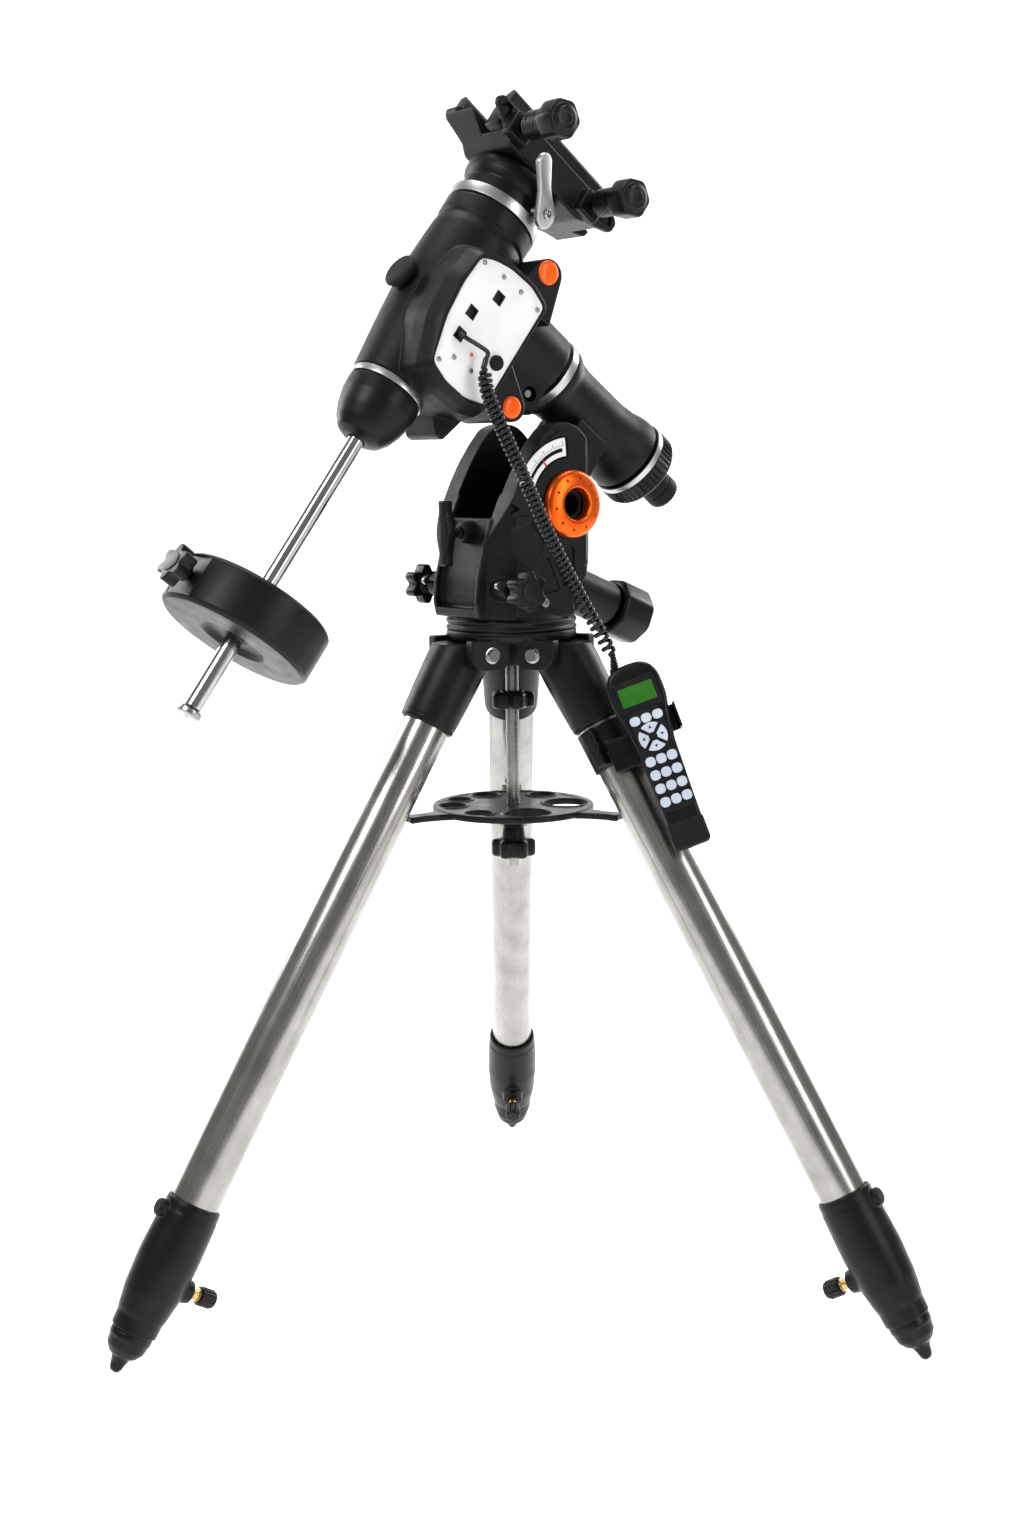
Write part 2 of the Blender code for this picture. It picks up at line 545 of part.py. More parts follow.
# ---------------------------------------------------------------- RA axis
def make_ra_housing(frames):
    ra = frames["ra"]
    altitude = frames["altitude"]
    housing = add_part("ra_housing", turned([
        (0.0425, 0.0630), (0.0425, 0.0560), (0.0380, 0.0480), (0.0360, 0.0320),
        (0.0365, -0.0250), (0.0390, -0.0450), (0.0435, -0.0600), (0.0440, -0.0745),
        (0.0235, -0.0745), (0.0235, 0.0630),
    ], 20), ra, "black_paint")
    lug_outline = (arc((0, 0), 0.0225, 200, 340, 8)
                   + [(0.0250, 0.050), (0.0240, 0.096), (-0.0240, 0.096), (-0.0250, 0.050)])
    lug = tool(slab([(-x, y) for x, y in lug_outline], -0.0360, 0.0360), altitude,
               (0, 0, 0), columns(-Z, Y, X))
    soften(lug, 0.004)
    upright = Matrix.Rotation(LATITUDE - math.pi / 2, 3, "X")
    tail = tool(block((-0.0140, -0.0020, -REAR_NOSE), (0.0140, 0.0060, -0.0100)), altitude,
                (0, 0, 0), upright)
    join(housing, lug, tail)
    for below in (FRONT_NOSE, REAR_NOSE):
        nose = tool(rod(NOSE_RADIUS, -0.0150, 0.0150, 16), altitude,
                    upright @ Vector((0, 0, -below)), facing((1, 0, 0)))
        join(housing, nose)
    cut(housing, tool(rod(0.0235, -0.10, 0.10, 24), ra))
    cut(housing, tool(rod(0.0124, -0.08, 0.08, 16), altitude, (0, 0, 0), facing((1, 0, 0))))

    add_part("ra_rear_cover", turned([
        (0, -0.1100), (0.0160, -0.1100), (0.0280, -0.1085), (0.0400, -0.1060), (0.0440, -0.1020),
        (0.0452, -0.0960), (0.0452, -0.0755), (0.0230, -0.0755), (0.0230, -0.0840), (0, -0.0840),
    ][::-1], 20), ra, "black_plastic")
    add_part("polar_scope_cap", turned([
        (0, -0.1106), (0.0178, -0.1106), (0.0190, -0.1200), (0.0190, -0.1440), (0.0170, -0.1470),
        (0, -0.1470),
    ], 20), ra, "rubber")
    add_part("ra_worm_wheel", gear(0.0362, 0.0230, 0.0850, 0.0990), ra, "brass")
    lever = add_part("ra_clutch_lever", slab(lever_outline(0.044, 0.0085, 0.0050), 0.0, 0.0060),
                     ra, "silver", (-0.0440, 0, 0.0350), facing((-1, 0, 0), (0, -0.5, -1)))
    soften(lever, 0.0015)
    join(lever, tool(rod(0.0050, -0.0050, 0.0010, 10), ra, (-0.0440, 0, 0.0350),
                     facing((-1, 0, 0))))


def lever_outline(length, root, tip):
    return (arc((0, 0), root, 100, 260, 8) + [(length * 0.5, -tip * 0.9)]
            + arc((length, 0), tip, -80, 80, 6) + [(length * 0.5, tip * 0.9)])


def gear(outer, inner, low, high, teeth=12):
    """A worm wheel with a toothed rim."""
    outline = []
    for k in range(teeth):
        angle = 360.0 * k / teeth
        step = 360.0 / teeth
        outline += arc((0, 0), outer, angle, angle + step * 0.35, 2)
        outline += arc((0, 0), outer - 0.0012, angle + step * 0.5, angle + step * 0.85, 2)
    shape = bmesh.new()
    rings = []
    for height, points in ((high, outline), (low, outline)):
        rings.append([shape.verts.new((x, y, height)) for x, y in points])
    for height in (low, high):
        rings.append([
            shape.verts.new((inner * math.cos(2 * math.pi * (k + 0.35) / len(outline)),
                             inner * math.sin(2 * math.pi * (k + 0.35) / len(outline)), height))
            for k in range(len(outline))
        ])
    for above, below in zip(rings, rings[1:] + rings[:1]):
        for k, corner in enumerate(above):
            nxt = (k + 1) % len(above)
            shape.faces.new((corner, below[k], below[nxt], above[nxt]))
    bmesh.ops.recalc_face_normals(shape, faces=shape.faces)
    return shape


# the panel's outline in the RA frame: X is up the DEC axis, Y along the RA axis
PANEL_OUTLINE = [
    (0.0020, 0.2450), (-0.0300, 0.2475), (-0.0700, 0.2440), (-0.1150, 0.2320),
    (-0.1215, 0.2080), (-0.1205, 0.1800), (-0.1110, 0.1570),
    (0.0120, 0.1560), (0.0185, 0.1800), (0.0165, 0.2100), (0.0105, 0.2300),
]


def grown(outline, amount):
    """An outline moved out from its middle by about that amount."""
    middle = sum((Vector(point) for point in outline), Vector((0, 0))) / len(outline)
    result = []
    for point in outline:
        away = Vector(point) - middle
        result.append(tuple(Vector(point) + away.normalized() * amount))
    return result


LIP_OUTLINE = [
    (-0.1080, 0.1860), (-0.1325, 0.1860), (-0.1340, 0.1740), (-0.1500, 0.1590),
    (-0.1490, 0.1500), (-0.1150, 0.1410), (-0.0950, 0.1640),
]
PANEL_FACE = 0.0800
BOX_BACK = -0.030


def box_section(outline, height):
    """An outline of the box as points of the RA frame, at one height along X."""
    return [(height, across, along) for across, along in outline]


def make_dec_housing(frames):
    ra, dec = frames["ra"], frames["dec"]
    housing = add_part("dec_housing", turned([
        (0, 0.0787), (0.0490, 0.0787), (0.0500, 0.0767), (0.0500, 0.0580), (0.0480, 0.0560),
        (0.0500, 0.0450), (0.0515, 0.0100), (0.0518, -0.0100), (0.0508, -0.0350),
        (0.0480, -0.0690), (0.0450, -0.1000), (0.0415, -0.1330), (0, -0.1330),
    ], 16), dec, "black_paint")
    body = lofted([
        box_section(grown(PANEL_OUTLINE, -0.004), BOX_BACK),
        box_section(grown(PANEL_OUTLINE, 0.016), 0.020),
        box_section(grown(PANEL_OUTLINE, 0.013), 0.062),
        box_section(grown(PANEL_OUTLINE, 0.0045), PANEL_FACE + 0.001),
    ])
    join(housing, tool(body, ra))
    neck = tool(turned([(0, 0.1700), (0.0435, 0.1700), (0.0435, 0.0800), (0.0420, 0.0760),
                        (0, 0.0760)], 24), ra)
    join(housing, neck)
    ears = (
        (0.0460, 0.1660, 0.0170, -0.0105, 0.0740, (0.0000, 0.1900), (0.0050, 0.1350)),
        (-0.0860, 0.1220, 0.0155, -0.0130, 0.0700, (-0.0900, 0.1750), (-0.0450, 0.1600)),
    )
    for across, along, radius, low, top, one, two in ears:
        ear = tool(lofted([
            box_section(ear_outline(across, along, radius, one, two), low),
            box_section(ear_outline(across, along, radius, one, two), top),
        ]), ra)
        soften(ear, 0.003)
        join(housing, ear)
    worm_block = tool(block((-0.034, -0.062, 0.0765), (0.034, -0.020, 0.150)), ra)
    lip = tool(lofted([box_section(LIP_OUTLINE, -0.0275), box_section(LIP_OUTLINE, 0.0300)]), ra)
    join(housing, worm_block, lip)
    # the two stepped bores, then the drive cavities and the panel's recess
    cut(housing, tool(turned([(0, 0.10), (0.0395, 0.10), (0.0395, 0.0300), (0.0250, 0.0300),
                              (0.0250, -0.16), (0, -0.16)], 14), dec))
    cut(housing, tool(turned([(0, 0.173), (0.0230, 0.173), (0.0230, 0.1020), (0.0385, 0.1020),
                              (0.0385, 0.06), (0, 0.06)], 14), ra))
    cut(housing, tool(rod(0.0080, -0.030, 0.080, 12), ra, (0, 0.0470, 0.1730), facing((1, 0, 0))))
    cut(housing, tool(rod(0.0080, -0.030, 0.080, 12), ra, (0, -0.0445, 0.0920), facing((1, 0, 0))))
    recess = tool(lofted([box_section(grown(PANEL_OUTLINE, 0.0005), PANEL_FACE - 0.0030),
                          box_section(grown(PANEL_OUTLINE, 0.0005), PANEL_FACE + 0.010)]), ra)
    cut(housing, recess)

    add_part("control_panel",
             lofted([box_section(PANEL_OUTLINE, PANEL_FACE - 0.0026),
                     box_section(PANEL_OUTLINE, PANEL_FACE)]), ra, "white_panel")
    add_part("ra_setting_circle", pipe(0.0435, 0.0260, 0.0634, 0.0726, 28), ra, "silver")
    add_part("ra_shaft", turned([(0.0221, 0.1640), (0.0221, -0.0700), (0.0130, -0.0700),
                                 (0.0130, 0.1640)], 20), ra, "steel")
    for name, across, along in (("dec_worm", 0.0470, 0.1730), ("ra_worm", -0.0445, 0.0920)):
        add_part(name, worm(0.0072, 0.0058, -0.0280, 0.0300), ra, "steel",
                 (0, across, along), facing((1, 0, 0)))
    cap_way = (X * 0.05 - Y).normalized()
    add_part("motor_cap", turned([
        (0, 0.0625), (0.0150, 0.0620), (0.0185, 0.0600), (0.0190, 0.0570), (0.0165, 0.0560),
        (0.0165, 0.0522), (0, 0.0522),
    ], 20), dec, "rubber", (0, 0, -0.033), facing(cap_way, (0, 0, 1)))
    add_part("dec_nose", turned([
        (0.0400, -0.1372), (0.0408, -0.1450), (0.0398, -0.1580), (0.0360, -0.1730),
        (0.0310, -0.1860), (0.0240, -0.1955), (0.0150, -0.2000), (SHAFT_RADIUS + GAP, -0.2005),
        (SHAFT_RADIUS + GAP, -0.1560), (0.0300, -0.1520), (0.0300, -0.1372),
    ], 18), dec, "black_paint")
    add_part("counterweight_shaft", turned([
        (0, -0.1380), (SHAFT_RADIUS + 0.012, -0.1380), (SHAFT_RADIUS + 0.012, -0.1515),
        (SHAFT_RADIUS, -0.1525), (SHAFT_RADIUS, -0.5200), (0, -0.5200),
    ], 16), dec, "steel")
    add_part("shaft_end_cap", turned([
        (0, -0.5204), (0.0095, -0.5204), (0.0125, -0.5225), (0.0125, -0.5275), (0.0095, -0.5290),
        (0, -0.5290),
    ], 16), dec, "silver")


def ear_outline(across, along, radius, one, two):
    """A round lug about one point that widens towards two others."""
    centre = Vector((across, along))
    first, second = Vector(one), Vector(two)
    a1 = (first - centre).normalized()
    a2 = (second - centre).normalized()
    start = math.degrees(math.atan2(a1.y, a1.x))
    end = math.degrees(math.atan2(a2.y, a2.x))
    if end < start:
        end += 360.0
    away = (a1 + a2) / 2
    middle = math.radians((start + end) / 2)
    if away.dot(Vector((math.cos(middle), math.sin(middle)))) > 0:
        start, end = end, start + 360.0
        first, second = second, first
    return arc(centre, radius, start + 70, end - 70, 10) + [tuple(second), tuple(first)]


def worm(outer, root, low, high, turns=4):
    """A worm: a shaft with ring threads."""
    middle = (low + high) / 2
    pitch = 0.0022
    start = middle + turns * pitch / 2
    profile = [(0, high), (root * 0.7, high), (root * 0.7, start), (root, start)]
    for k in range(turns):
        top = start - k * pitch
        profile += [(outer, top - pitch * 0.35), (outer, top - pitch * 0.6), (root, top - pitch)]
    profile += [(root * 0.7, start - turns * pitch - 0.0004), (root * 0.7, low), (0, low)]
    return turned(profile, 10)


def make_weight(frames):
    dec = frames["dec"]
    middle = (WEIGHT_TOP + WEIGHT_END) / 2
    weight = add_part("counterweight", turned([
        (0.078, WEIGHT_TOP), (WEIGHT_RADIUS, WEIGHT_TOP - 0.003),
        (WEIGHT_RADIUS, WEIGHT_END + 0.003), (0.078, WEIGHT_END), (0.034, WEIGHT_END),
        (0.030, WEIGHT_END + 0.006), (0.0140, WEIGHT_END + 0.006),
        (SHAFT_RADIUS + GAP, WEIGHT_END + 0.008),
        (SHAFT_RADIUS + GAP, WEIGHT_TOP - 0.004), (0.0140, WEIGHT_TOP),
    ], 24), dec, "black_paint")
    outward = (X * 0.05 - Y * 1.0).normalized()
    turn = facing(outward, (0, 0, 1))
    flat = tool(block((-0.022, -0.022, WEIGHT_RADIUS - 0.0035), (0.022, 0.022, 0.10)), dec,
                (0, 0, middle), turn)
    bore = tool(rod(0.0054, 0.0, 0.10, 10), dec, (0, 0, middle), turn)
    cut(weight, flat, bore)
    knob = add_part("counterweight_knob", slab(star(0.0205, 0.0062, 6), 0.0860, 0.1010), dec,
                    "black_plastic", (0, 0, middle), turn)
    soften(knob, 0.003)
    join(knob, tool(turned([(0, 0.0880), (0.0090, 0.0880), (0.0090, 0.0805), (0.0050, 0.0795),
                            (0.0050, 0.0100), (0, 0.0100)], 10), dec, (0, 0, middle), turn))


# ---------------------------------------------------------------- DEC axis and saddle
SADDLE_SIDE = [
    (-0.046, 0.1315), (-0.060, 0.1430), (-0.084, 0.1560), (-0.0865, 0.1620), (-0.082, 0.1680),
    (0.098, 0.1680), (0.106, 0.1620), (0.105, 0.1500), (0.062, 0.1315),
]
KNOB_ALONG = (-0.051, 0.063)      # the two clamp screws, along the saddle
KNOB_HEIGHT = 0.1500


def make_dec(frames):
    dec = frames["dec"]
    top = frame("dec_top", dec, Matrix.Identity(3), (0, 0, -0.0075))
    add_part("dec_hub", turned([
        (0, 0.1386), (0.0450, 0.1386), (0.0495, 0.1360), (0.0505, 0.1300), (0.0500, 0.1230),
        (0.0470, 0.1180), (0.0445, 0.1150), (0.0440, 0.0990), (0, 0.0990),
    ], 20), top, "black_paint")
    add_part("dec_setting_circle", pipe(0.0512, 0.0260, 0.0866, 0.0984, 28), top, "silver")
    add_part("dec_shaft", rod(0.0225, -0.1325, 0.0909, 20), dec, "steel")
    add_part("dec_worm_wheel", gear(0.0366, 0.0230, 0.0400, 0.0540), dec, "brass")

    saddle = add_part("saddle", slab(SADDLE_SIDE, -0.0500, 0.0460), dec, "black_paint",
                      (0, 0, 0), SIDE)
    soften(saddle, 0.003)
    # the fixed dovetail wall stands on the far side, the loose jaw runs in the deep channel
    floor = tool(block((-0.0300, -0.12, 0.1580), (0.0380, 0.12, 0.20)), dec)
    channel = tool(block((0.0010, -0.12, 0.1432), (0.0380, 0.12, 0.20)), dec)
    cut(saddle, floor, channel)
    flank = tool(slab([(-0.0700, 0.1100), (-0.0360, 0.1100), (-0.0360, 0.1400),
                       (-0.0490, 0.1540), (-0.0700, 0.1540)], -0.1200, 0.1000), dec, (0, 0, 0),
                 columns(X, Z, -Y))
    cut(saddle, flank)
    wall = tool(slab([(-0.0508, 0.1560), (-0.0295, 0.1560), (-0.0295, 0.1640), (-0.0360, 0.1780),
                      (-0.0430, 0.1870), (-0.0508, 0.1850)], -0.0940, 0.0780), dec, (0, 0, 0),
                columns(X, Z, -Y))
    join(saddle, wall)
    for along in KNOB_ALONG:
        post = tool(block((0.0440, along - 0.014, 0.1350), (0.0580, along + 0.014, 0.1620)), dec)
        soften(post, 0.003)
        join(saddle, post)
    for along in KNOB_ALONG:
        cut(saddle, tool(rod(0.0054, 0.0200, 0.08, 10), dec, (0, along, KNOB_HEIGHT),
                         facing((1, 0, 0))))
    clamp = add_part("saddle_clamp", slab([
        (0.0140, 0.1442), (0.0372, 0.1442), (0.0372, 0.1840), (0.0300, 0.1900), (0.0220, 0.1840),
        (0.0130, 0.1660),
    ], -0.0840, 0.0700), dec, "black_paint", (0, 0, 0), columns(X, Z, -Y))
    soften(clamp, 0.002)
    for name, along in zip(("saddle_knob_upper", "saddle_knob_lower"), KNOB_ALONG):
        knob = add_part(name, slab(arc((0, 0), 0.0205, 0, 300, 6), 0.1010, 0.1250), dec,
                        "black_plastic", (0, along, KNOB_HEIGHT), facing((1, 0, 0)))
        soften(knob, 0.003)
        stem = tool(turned([
            (0, 0.1290), (0.0090, 0.1290), (0.0130, 0.1270), (0.0165, 0.1235), (0.0165, 0.1030),
            (0.0145, 0.0990), (0.0145, 0.0720), (0.0120, 0.0690), (0.0050, 0.0685),
            (0.0050, 0.0376), (0, 0.0376),
        ], 14), dec, (0, along, KNOB_HEIGHT), facing((1, 0, 0)))
        join(knob, stem)
    way = (X * 0.94 + Y * 0.34).normalized()
    lever = add_part("dec_clutch_lever",
                     slab(lever_outline(0.050, 0.0115, 0.0080), 0.0560, 0.0625), dec,
                     "silver", (0, 0, 0.1010), facing(way, (0.40, -1.20, 1)))
    soften(lever, 0.0015)
    join(lever, tool(rod(0.0050, 0.0449, 0.0580, 10), dec, (0, 0, 0.1010), facing(way)))


# ---------------------------------------------------------------- hand controller and cord
CONTROLLER_MIDDLE = Vector((0.1500, -0.1180, 0.6060))
CONTROLLER_DOWN = Vector((0.326, -0.268, -0.905)).normalized()


def make_controller(frames):
    stand = frames["stand"]
    front = Vector((0, -1, 0)) - Vector((0, -1, 0)).dot(CONTROLLER_DOWN) * CONTROLLER_DOWN
    turn = facing(front, -CONTROLLER_DOWN)
    # local X runs up the handset, local Y to its left and local Z out of its face
    outline = [
        (0.100, 0.0), (0.099, 0.014), (0.093, 0.023), (0.082, 0.0285), (0.060, 0.0290),
        (0.036, 0.0240), (0.010, 0.0205), (-0.050, 0.0190), (-0.096, 0.0185), (-0.100, 0.0150),
    ]
    outline = outline + [(x, -y) for x, y in reversed(outline[1:])]
    body = add_part("hand_controller", slab(outline, -0.0120, 0.0120), stand, "black_plastic",
                    CONTROLLER_MIDDLE, turn)
    soften(body, 0.004)
    pad = slab(rounded(0.110, 0.033, 0.006), 0.0130, 0.0149)
    add_part("keypad", pad, stand, "keys", CONTROLLER_MIDDLE + turn @ Vector((-0.005, 0, 0)),
             turn)

    leg = frames["leg_right"]
    band = add_part("controller_bracket", pipe(0.0285, TUBE_RADIUS + GAP, -0.142, -0.0965, 20),
                    leg, "black_plastic", (LEG_AXIS_OUT, 0, 0))
    ear = tool(block((-0.0060, -0.0420, -0.139), (0.0060, -0.0265, -0.0985)), leg,
               (LEG_AXIS_OUT, 0, 0))
    plate = tool(block((-0.097, -0.0170, -0.0170), (0.050, 0.0170, -0.0125)), stand,
                 CONTROLLER_MIDDLE, turn)
    hook = tool(block((0.020, -0.0330, -0.0170), (0.048, -0.0300, 0.0060)), stand,
                CONTROLLER_MIDDLE, turn)
    hook_foot = tool(block((0.020, -0.0320, -0.0170), (0.048, -0.0150, -0.0140)), stand,
                     CONTROLLER_MIDDLE, turn)
    post = tool(block((0.0, -0.0120, -0.0420), (0.034, 0.0480, -0.0145)), stand,
                CONTROLLER_MIDDLE, turn)
    join(band, ear, post, plate, hook_foot, hook)
    cut(band, tool(rod(TUBE_RADIUS + GAP, -0.20, -0.05, 20), leg, (LEG_AXIS_OUT, 0, 0)))


LEAD_ROUTE = [
    (0.0815, -0.0753, 0.2228), (0.0870, -0.0776, 0.2243), (0.0922, -0.0790, 0.2205),
    (0.0952, -0.0770, 0.2068), (0.0962, -0.0755, 0.1957), (0.0960, -0.0768, 0.1925),
    (0.0957, -0.0835, 0.1908),
]
COIL_ROUTE = [
    (-0.0261, -0.1374, 0.9993), (-0.0225, -0.1393, 0.9726), (-0.0100, -0.1354, 0.9414),
    (0.0135, -0.1271, 0.8881), (0.0415, -0.1172, 0.8236), (0.0732, -0.1039, 0.7616),
    (0.0931, -0.0949, 0.7257), (0.1037, -0.0903, 0.7055),
]


def smooth_route(points, spacing):
    """Points about spacing apart on a smooth curve through the given ones."""
    points = [Vector(point) for point in points]
    padded = [2 * points[0] - points[1]] + points + [2 * points[-1] - points[-2]]
    dense = []
    for before, start, end, after in zip(padded, padded[1:], padded[2:], padded[3:]):
        for k in range(24):
            t = k / 24
            dense.append(0.5 * (2 * start + (end - before) * t
                                + (2 * before - 5 * start + 4 * end - after) * t * t
                                + (3 * start - before - 3 * end + after) * t ** 3))
    dense.append(points[-1])
    length = sum((b - a).length for a, b in zip(dense, dense[1:]))
    count = max(2, round(length / spacing))
    result, gone, target = [dense[0]], 0.0, length / count
    for a, b in zip(dense, dense[1:]):
        step = (b - a).length
        while gone + step >= target * len(result) and len(result) < count:
            result.append(a.lerp(b, (target * len(result) - gone) / step))
        gone += step
    return result + [dense[-1]]


def add_cord(name, route, radius, spacing, parent, finish):
    curve = bpy.data.curves.new(name, "CURVE")
    curve.dimensions = "3D"
    curve.bevel_depth = radius
    curve.bevel_resolution = 2
    curve.render_resolution_u = 0
    curve.use_fill_caps = True
    points = smooth_route(route, spacing)
    spline = curve.splines.new("POLY")
    spline.points.add(len(points) - 1)
    for item, point in zip(spline.points, points):
        item.co = (*point, 1.0)
    colour, roughness, metallic = FINISHES[finish]
    curve.materials.append(material(name, colour, roughness, metallic))
    made = bpy.data.objects.new(name, curve)
    bpy.context.collection.objects.link(made)
    made.parent = parent
    return made


def make_cord(frames):
    add_cord("cord_lead", LEAD_ROUTE, LEAD_RADIUS, 0.006, frames["ra"], "rubber")
    add_cord("cord_coil", COIL_ROUTE, COIL_RADIUS, 0.020, frames["stand"], "rubber")


# ---------------------------------------------------------------- build
def build():
    clear_scene()
    frames = make_frames()
    make_head(frames)
    for side in LEG_AZIMUTHS:
        make_leg(frames, side)
    make_tray(frames)
    make_yoke(frames)
    make_ra_housing(frames)
    make_dec_housing(frames)
    make_weight(frames)
    make_dec(frames)
    make_controller(frames)
    make_cord(frames)


build()
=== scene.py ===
import math

import bmesh
import bpy
from mathutils import Matrix, Vector


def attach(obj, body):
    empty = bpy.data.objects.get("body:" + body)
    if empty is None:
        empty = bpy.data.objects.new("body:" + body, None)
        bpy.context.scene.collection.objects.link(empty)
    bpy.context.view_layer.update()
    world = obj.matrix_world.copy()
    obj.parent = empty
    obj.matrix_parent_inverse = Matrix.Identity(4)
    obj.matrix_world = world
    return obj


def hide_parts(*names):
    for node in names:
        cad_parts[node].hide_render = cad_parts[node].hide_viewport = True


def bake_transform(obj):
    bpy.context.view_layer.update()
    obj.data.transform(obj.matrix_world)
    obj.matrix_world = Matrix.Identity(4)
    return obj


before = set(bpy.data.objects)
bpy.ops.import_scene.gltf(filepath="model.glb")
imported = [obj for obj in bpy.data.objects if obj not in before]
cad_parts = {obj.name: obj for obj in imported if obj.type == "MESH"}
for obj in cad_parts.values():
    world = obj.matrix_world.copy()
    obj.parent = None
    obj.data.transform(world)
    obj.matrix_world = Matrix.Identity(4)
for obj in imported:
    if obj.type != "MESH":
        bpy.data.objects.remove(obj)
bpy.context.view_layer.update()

X, Y, Z = Vector((1, 0, 0)), Vector((0, 1, 0)), Vector((0, 0, 1))

# ---------------------------------------------------------------- frames of the object
STAND_AT = Vector((0.0, -0.10365, 0.0011))
AZIMUTHS = {"rear": 90.0, "left": 210.0, "right": 330.0}
LEG_TILT = math.radians(30.5)
LATITUDE = math.radians(37.3)
TURN = math.radians(36.1)


def columns(x_axis, y_axis, z_axis):
    return Matrix((x_axis, y_axis, z_axis)).transposed()


def facing(z_axis, x_hint=(0.0, 0.0, 1.0)):
    """A rotation whose Z looks along z_axis, with X as near x_hint as it can be."""
    z = Vector(z_axis).normalized()
    x = Vector(x_hint) - Vector(x_hint).dot(z) * z
    if x.length < 1e-6:
        x = z.orthogonal()
    x.normalize()
    return columns(x, z.cross(x), z)


def put(base, place, rotation=None):
    turn = rotation.to_4x4() if rotation else Matrix.Identity(4)
    return base @ Matrix.Translation(place) @ turn


STAND = Matrix.Translation(STAND_AT)
YOKE = put(STAND, (0, 0, 0), Matrix.Rotation(TURN - math.pi / 2, 3, "Z"))
AXLE_AT = Vector((0, 0.0307, 0.8617))
AXLE_TO_RA = 0.1184         # from the altitude axle to the RA axis
RA_TO_DEC = 0.2184          # along the RA axis, up to the DEC axis
PIVOT_OUT, PIVOT_UP = 0.052, 0.708
ALT = put(YOKE, AXLE_AT, columns(X, Vector((0, math.sin(LATITUDE), math.cos(LATITUDE))),
                                 Vector((0, -math.cos(LATITUDE), math.sin(LATITUDE)))))
RA = put(ALT, (0, AXLE_TO_RA, 0))
DEC = put(RA, (0, 0, RA_TO_DEC), columns(X, -Z, Y))
TOP = put(DEC, (0, 0, -0.0075))
LEG, RADIAL = {}, {}
for side, azimuth in AZIMUTHS.items():
    spin = Matrix.Rotation(math.radians(azimuth), 3, "Z")
    RADIAL[side] = put(STAND, (0, 0, 0), spin)
    LEG[side] = put(STAND, spin @ Vector((PIVOT_OUT, 0, PIVOT_UP)),
                    spin @ Matrix.Rotation(-LEG_TILT, 3, "Y"))
SIDE = facing((1, 0, 0), (0, 1, 0))
ACROSS = columns(X, Z, -Y)
HANDSET_DOWN = Vector((0.326, -0.268, -0.905)).normalized()
HANDSET_TURN = facing(-Y + Y.dot(HANDSET_DOWN) * HANDSET_DOWN, -HANDSET_DOWN)
HANDSET = put(STAND, (0.1500, -0.1180, 0.6060), HANDSET_TURN)

# ---------------------------------------------------------------- camera
PITCH, ROLL, YAW = 0.1583, -0.0104, -0.01205
ahead = Vector((0, math.cos(PITCH), -math.sin(PITCH)))
above = Vector((0, math.sin(PITCH), math.cos(PITCH)))
right = math.cos(ROLL) * X + math.sin(ROLL) * above
above = -math.sin(ROLL) * X + math.cos(ROLL) * above
yaw = Matrix.Rotation(YAW, 3, "Z")
camera = bpy.data.objects.new("camera", bpy.data.cameras.new("camera"))
bpy.context.scene.collection.objects.link(camera)
camera.matrix_world = (Matrix.Translation(Vector((-0.02607, -2.08464, 0.9088)) + STAND_AT)
                       @ columns(yaw @ right, yaw @ above, -(yaw @ ahead)).to_4x4())
camera.data.sensor_width = 36
camera.data.lens = 45.342
camera.data.clip_end = 50
bpy.context.scene.camera = camera


# ---------------------------------------------------------------- materials
def nodes_of(name):
    made = bpy.data.materials.new(name)
    made.use_nodes = True
    tree = made.node_tree
    return made, tree, tree.nodes["Principled BSDF"]


def product(tree, one, two):
    """one times two, where two is a number or an output."""
    made = tree.nodes.new("ShaderNodeMath")
    made.operation = "MULTIPLY"
    tree.links.new(one, made.inputs[0])
    if isinstance(two, (int, float)):
        made.inputs[1].default_value = two
    else:
        tree.links.new(two, made.inputs[1])
    return made.outputs[0]


def scaled(tree, scale):
    """Object coordinates, scaled along each axis."""
    coords = tree.nodes.new("ShaderNodeTexCoord")
    mapping = tree.nodes.new("ShaderNodeMapping")
    mapping.inputs["Scale"].default_value = scale
    tree.links.new(coords.outputs["Object"], mapping.inputs["Vector"])
    return mapping.outputs["Vector"]


def turned_coords(tree, around, up):
    """Coordinates that vary with radius and height only, for lathe marks."""
    coords = tree.nodes.new("ShaderNodeTexCoord")
    split = tree.nodes.new("ShaderNodeSeparateXYZ")
    tree.links.new(coords.outputs["Object"], split.inputs[0])
    flat = tree.nodes.new("ShaderNodeCombineXYZ")
    tree.links.new(split.outputs["X"], flat.inputs["X"])
    tree.links.new(split.outputs["Y"], flat.inputs["Y"])
    reach = tree.nodes.new("ShaderNodeVectorMath")
    reach.operation = "LENGTH"
    tree.links.new(flat.outputs[0], reach.inputs[0])
    join = tree.nodes.new("ShaderNodeCombineXYZ")
    for source, scale, socket in ((reach.outputs["Value"], around, "X"),
                                  (split.outputs["Z"], up, "Y")):
        tree.links.new(product(tree, source, scale), join.inputs[socket])
    return join.outputs[0]


def noise(tree, vector, scale, detail=3.0, rough=0.55):
    made = tree.nodes.new("ShaderNodeTexNoise")
    made.inputs["Scale"].default_value = scale
    made.inputs["Detail"].default_value = detail
    made.inputs["Roughness"].default_value = rough
    tree.links.new(vector, made.inputs["Vector"])
    return made.outputs["Fac"]


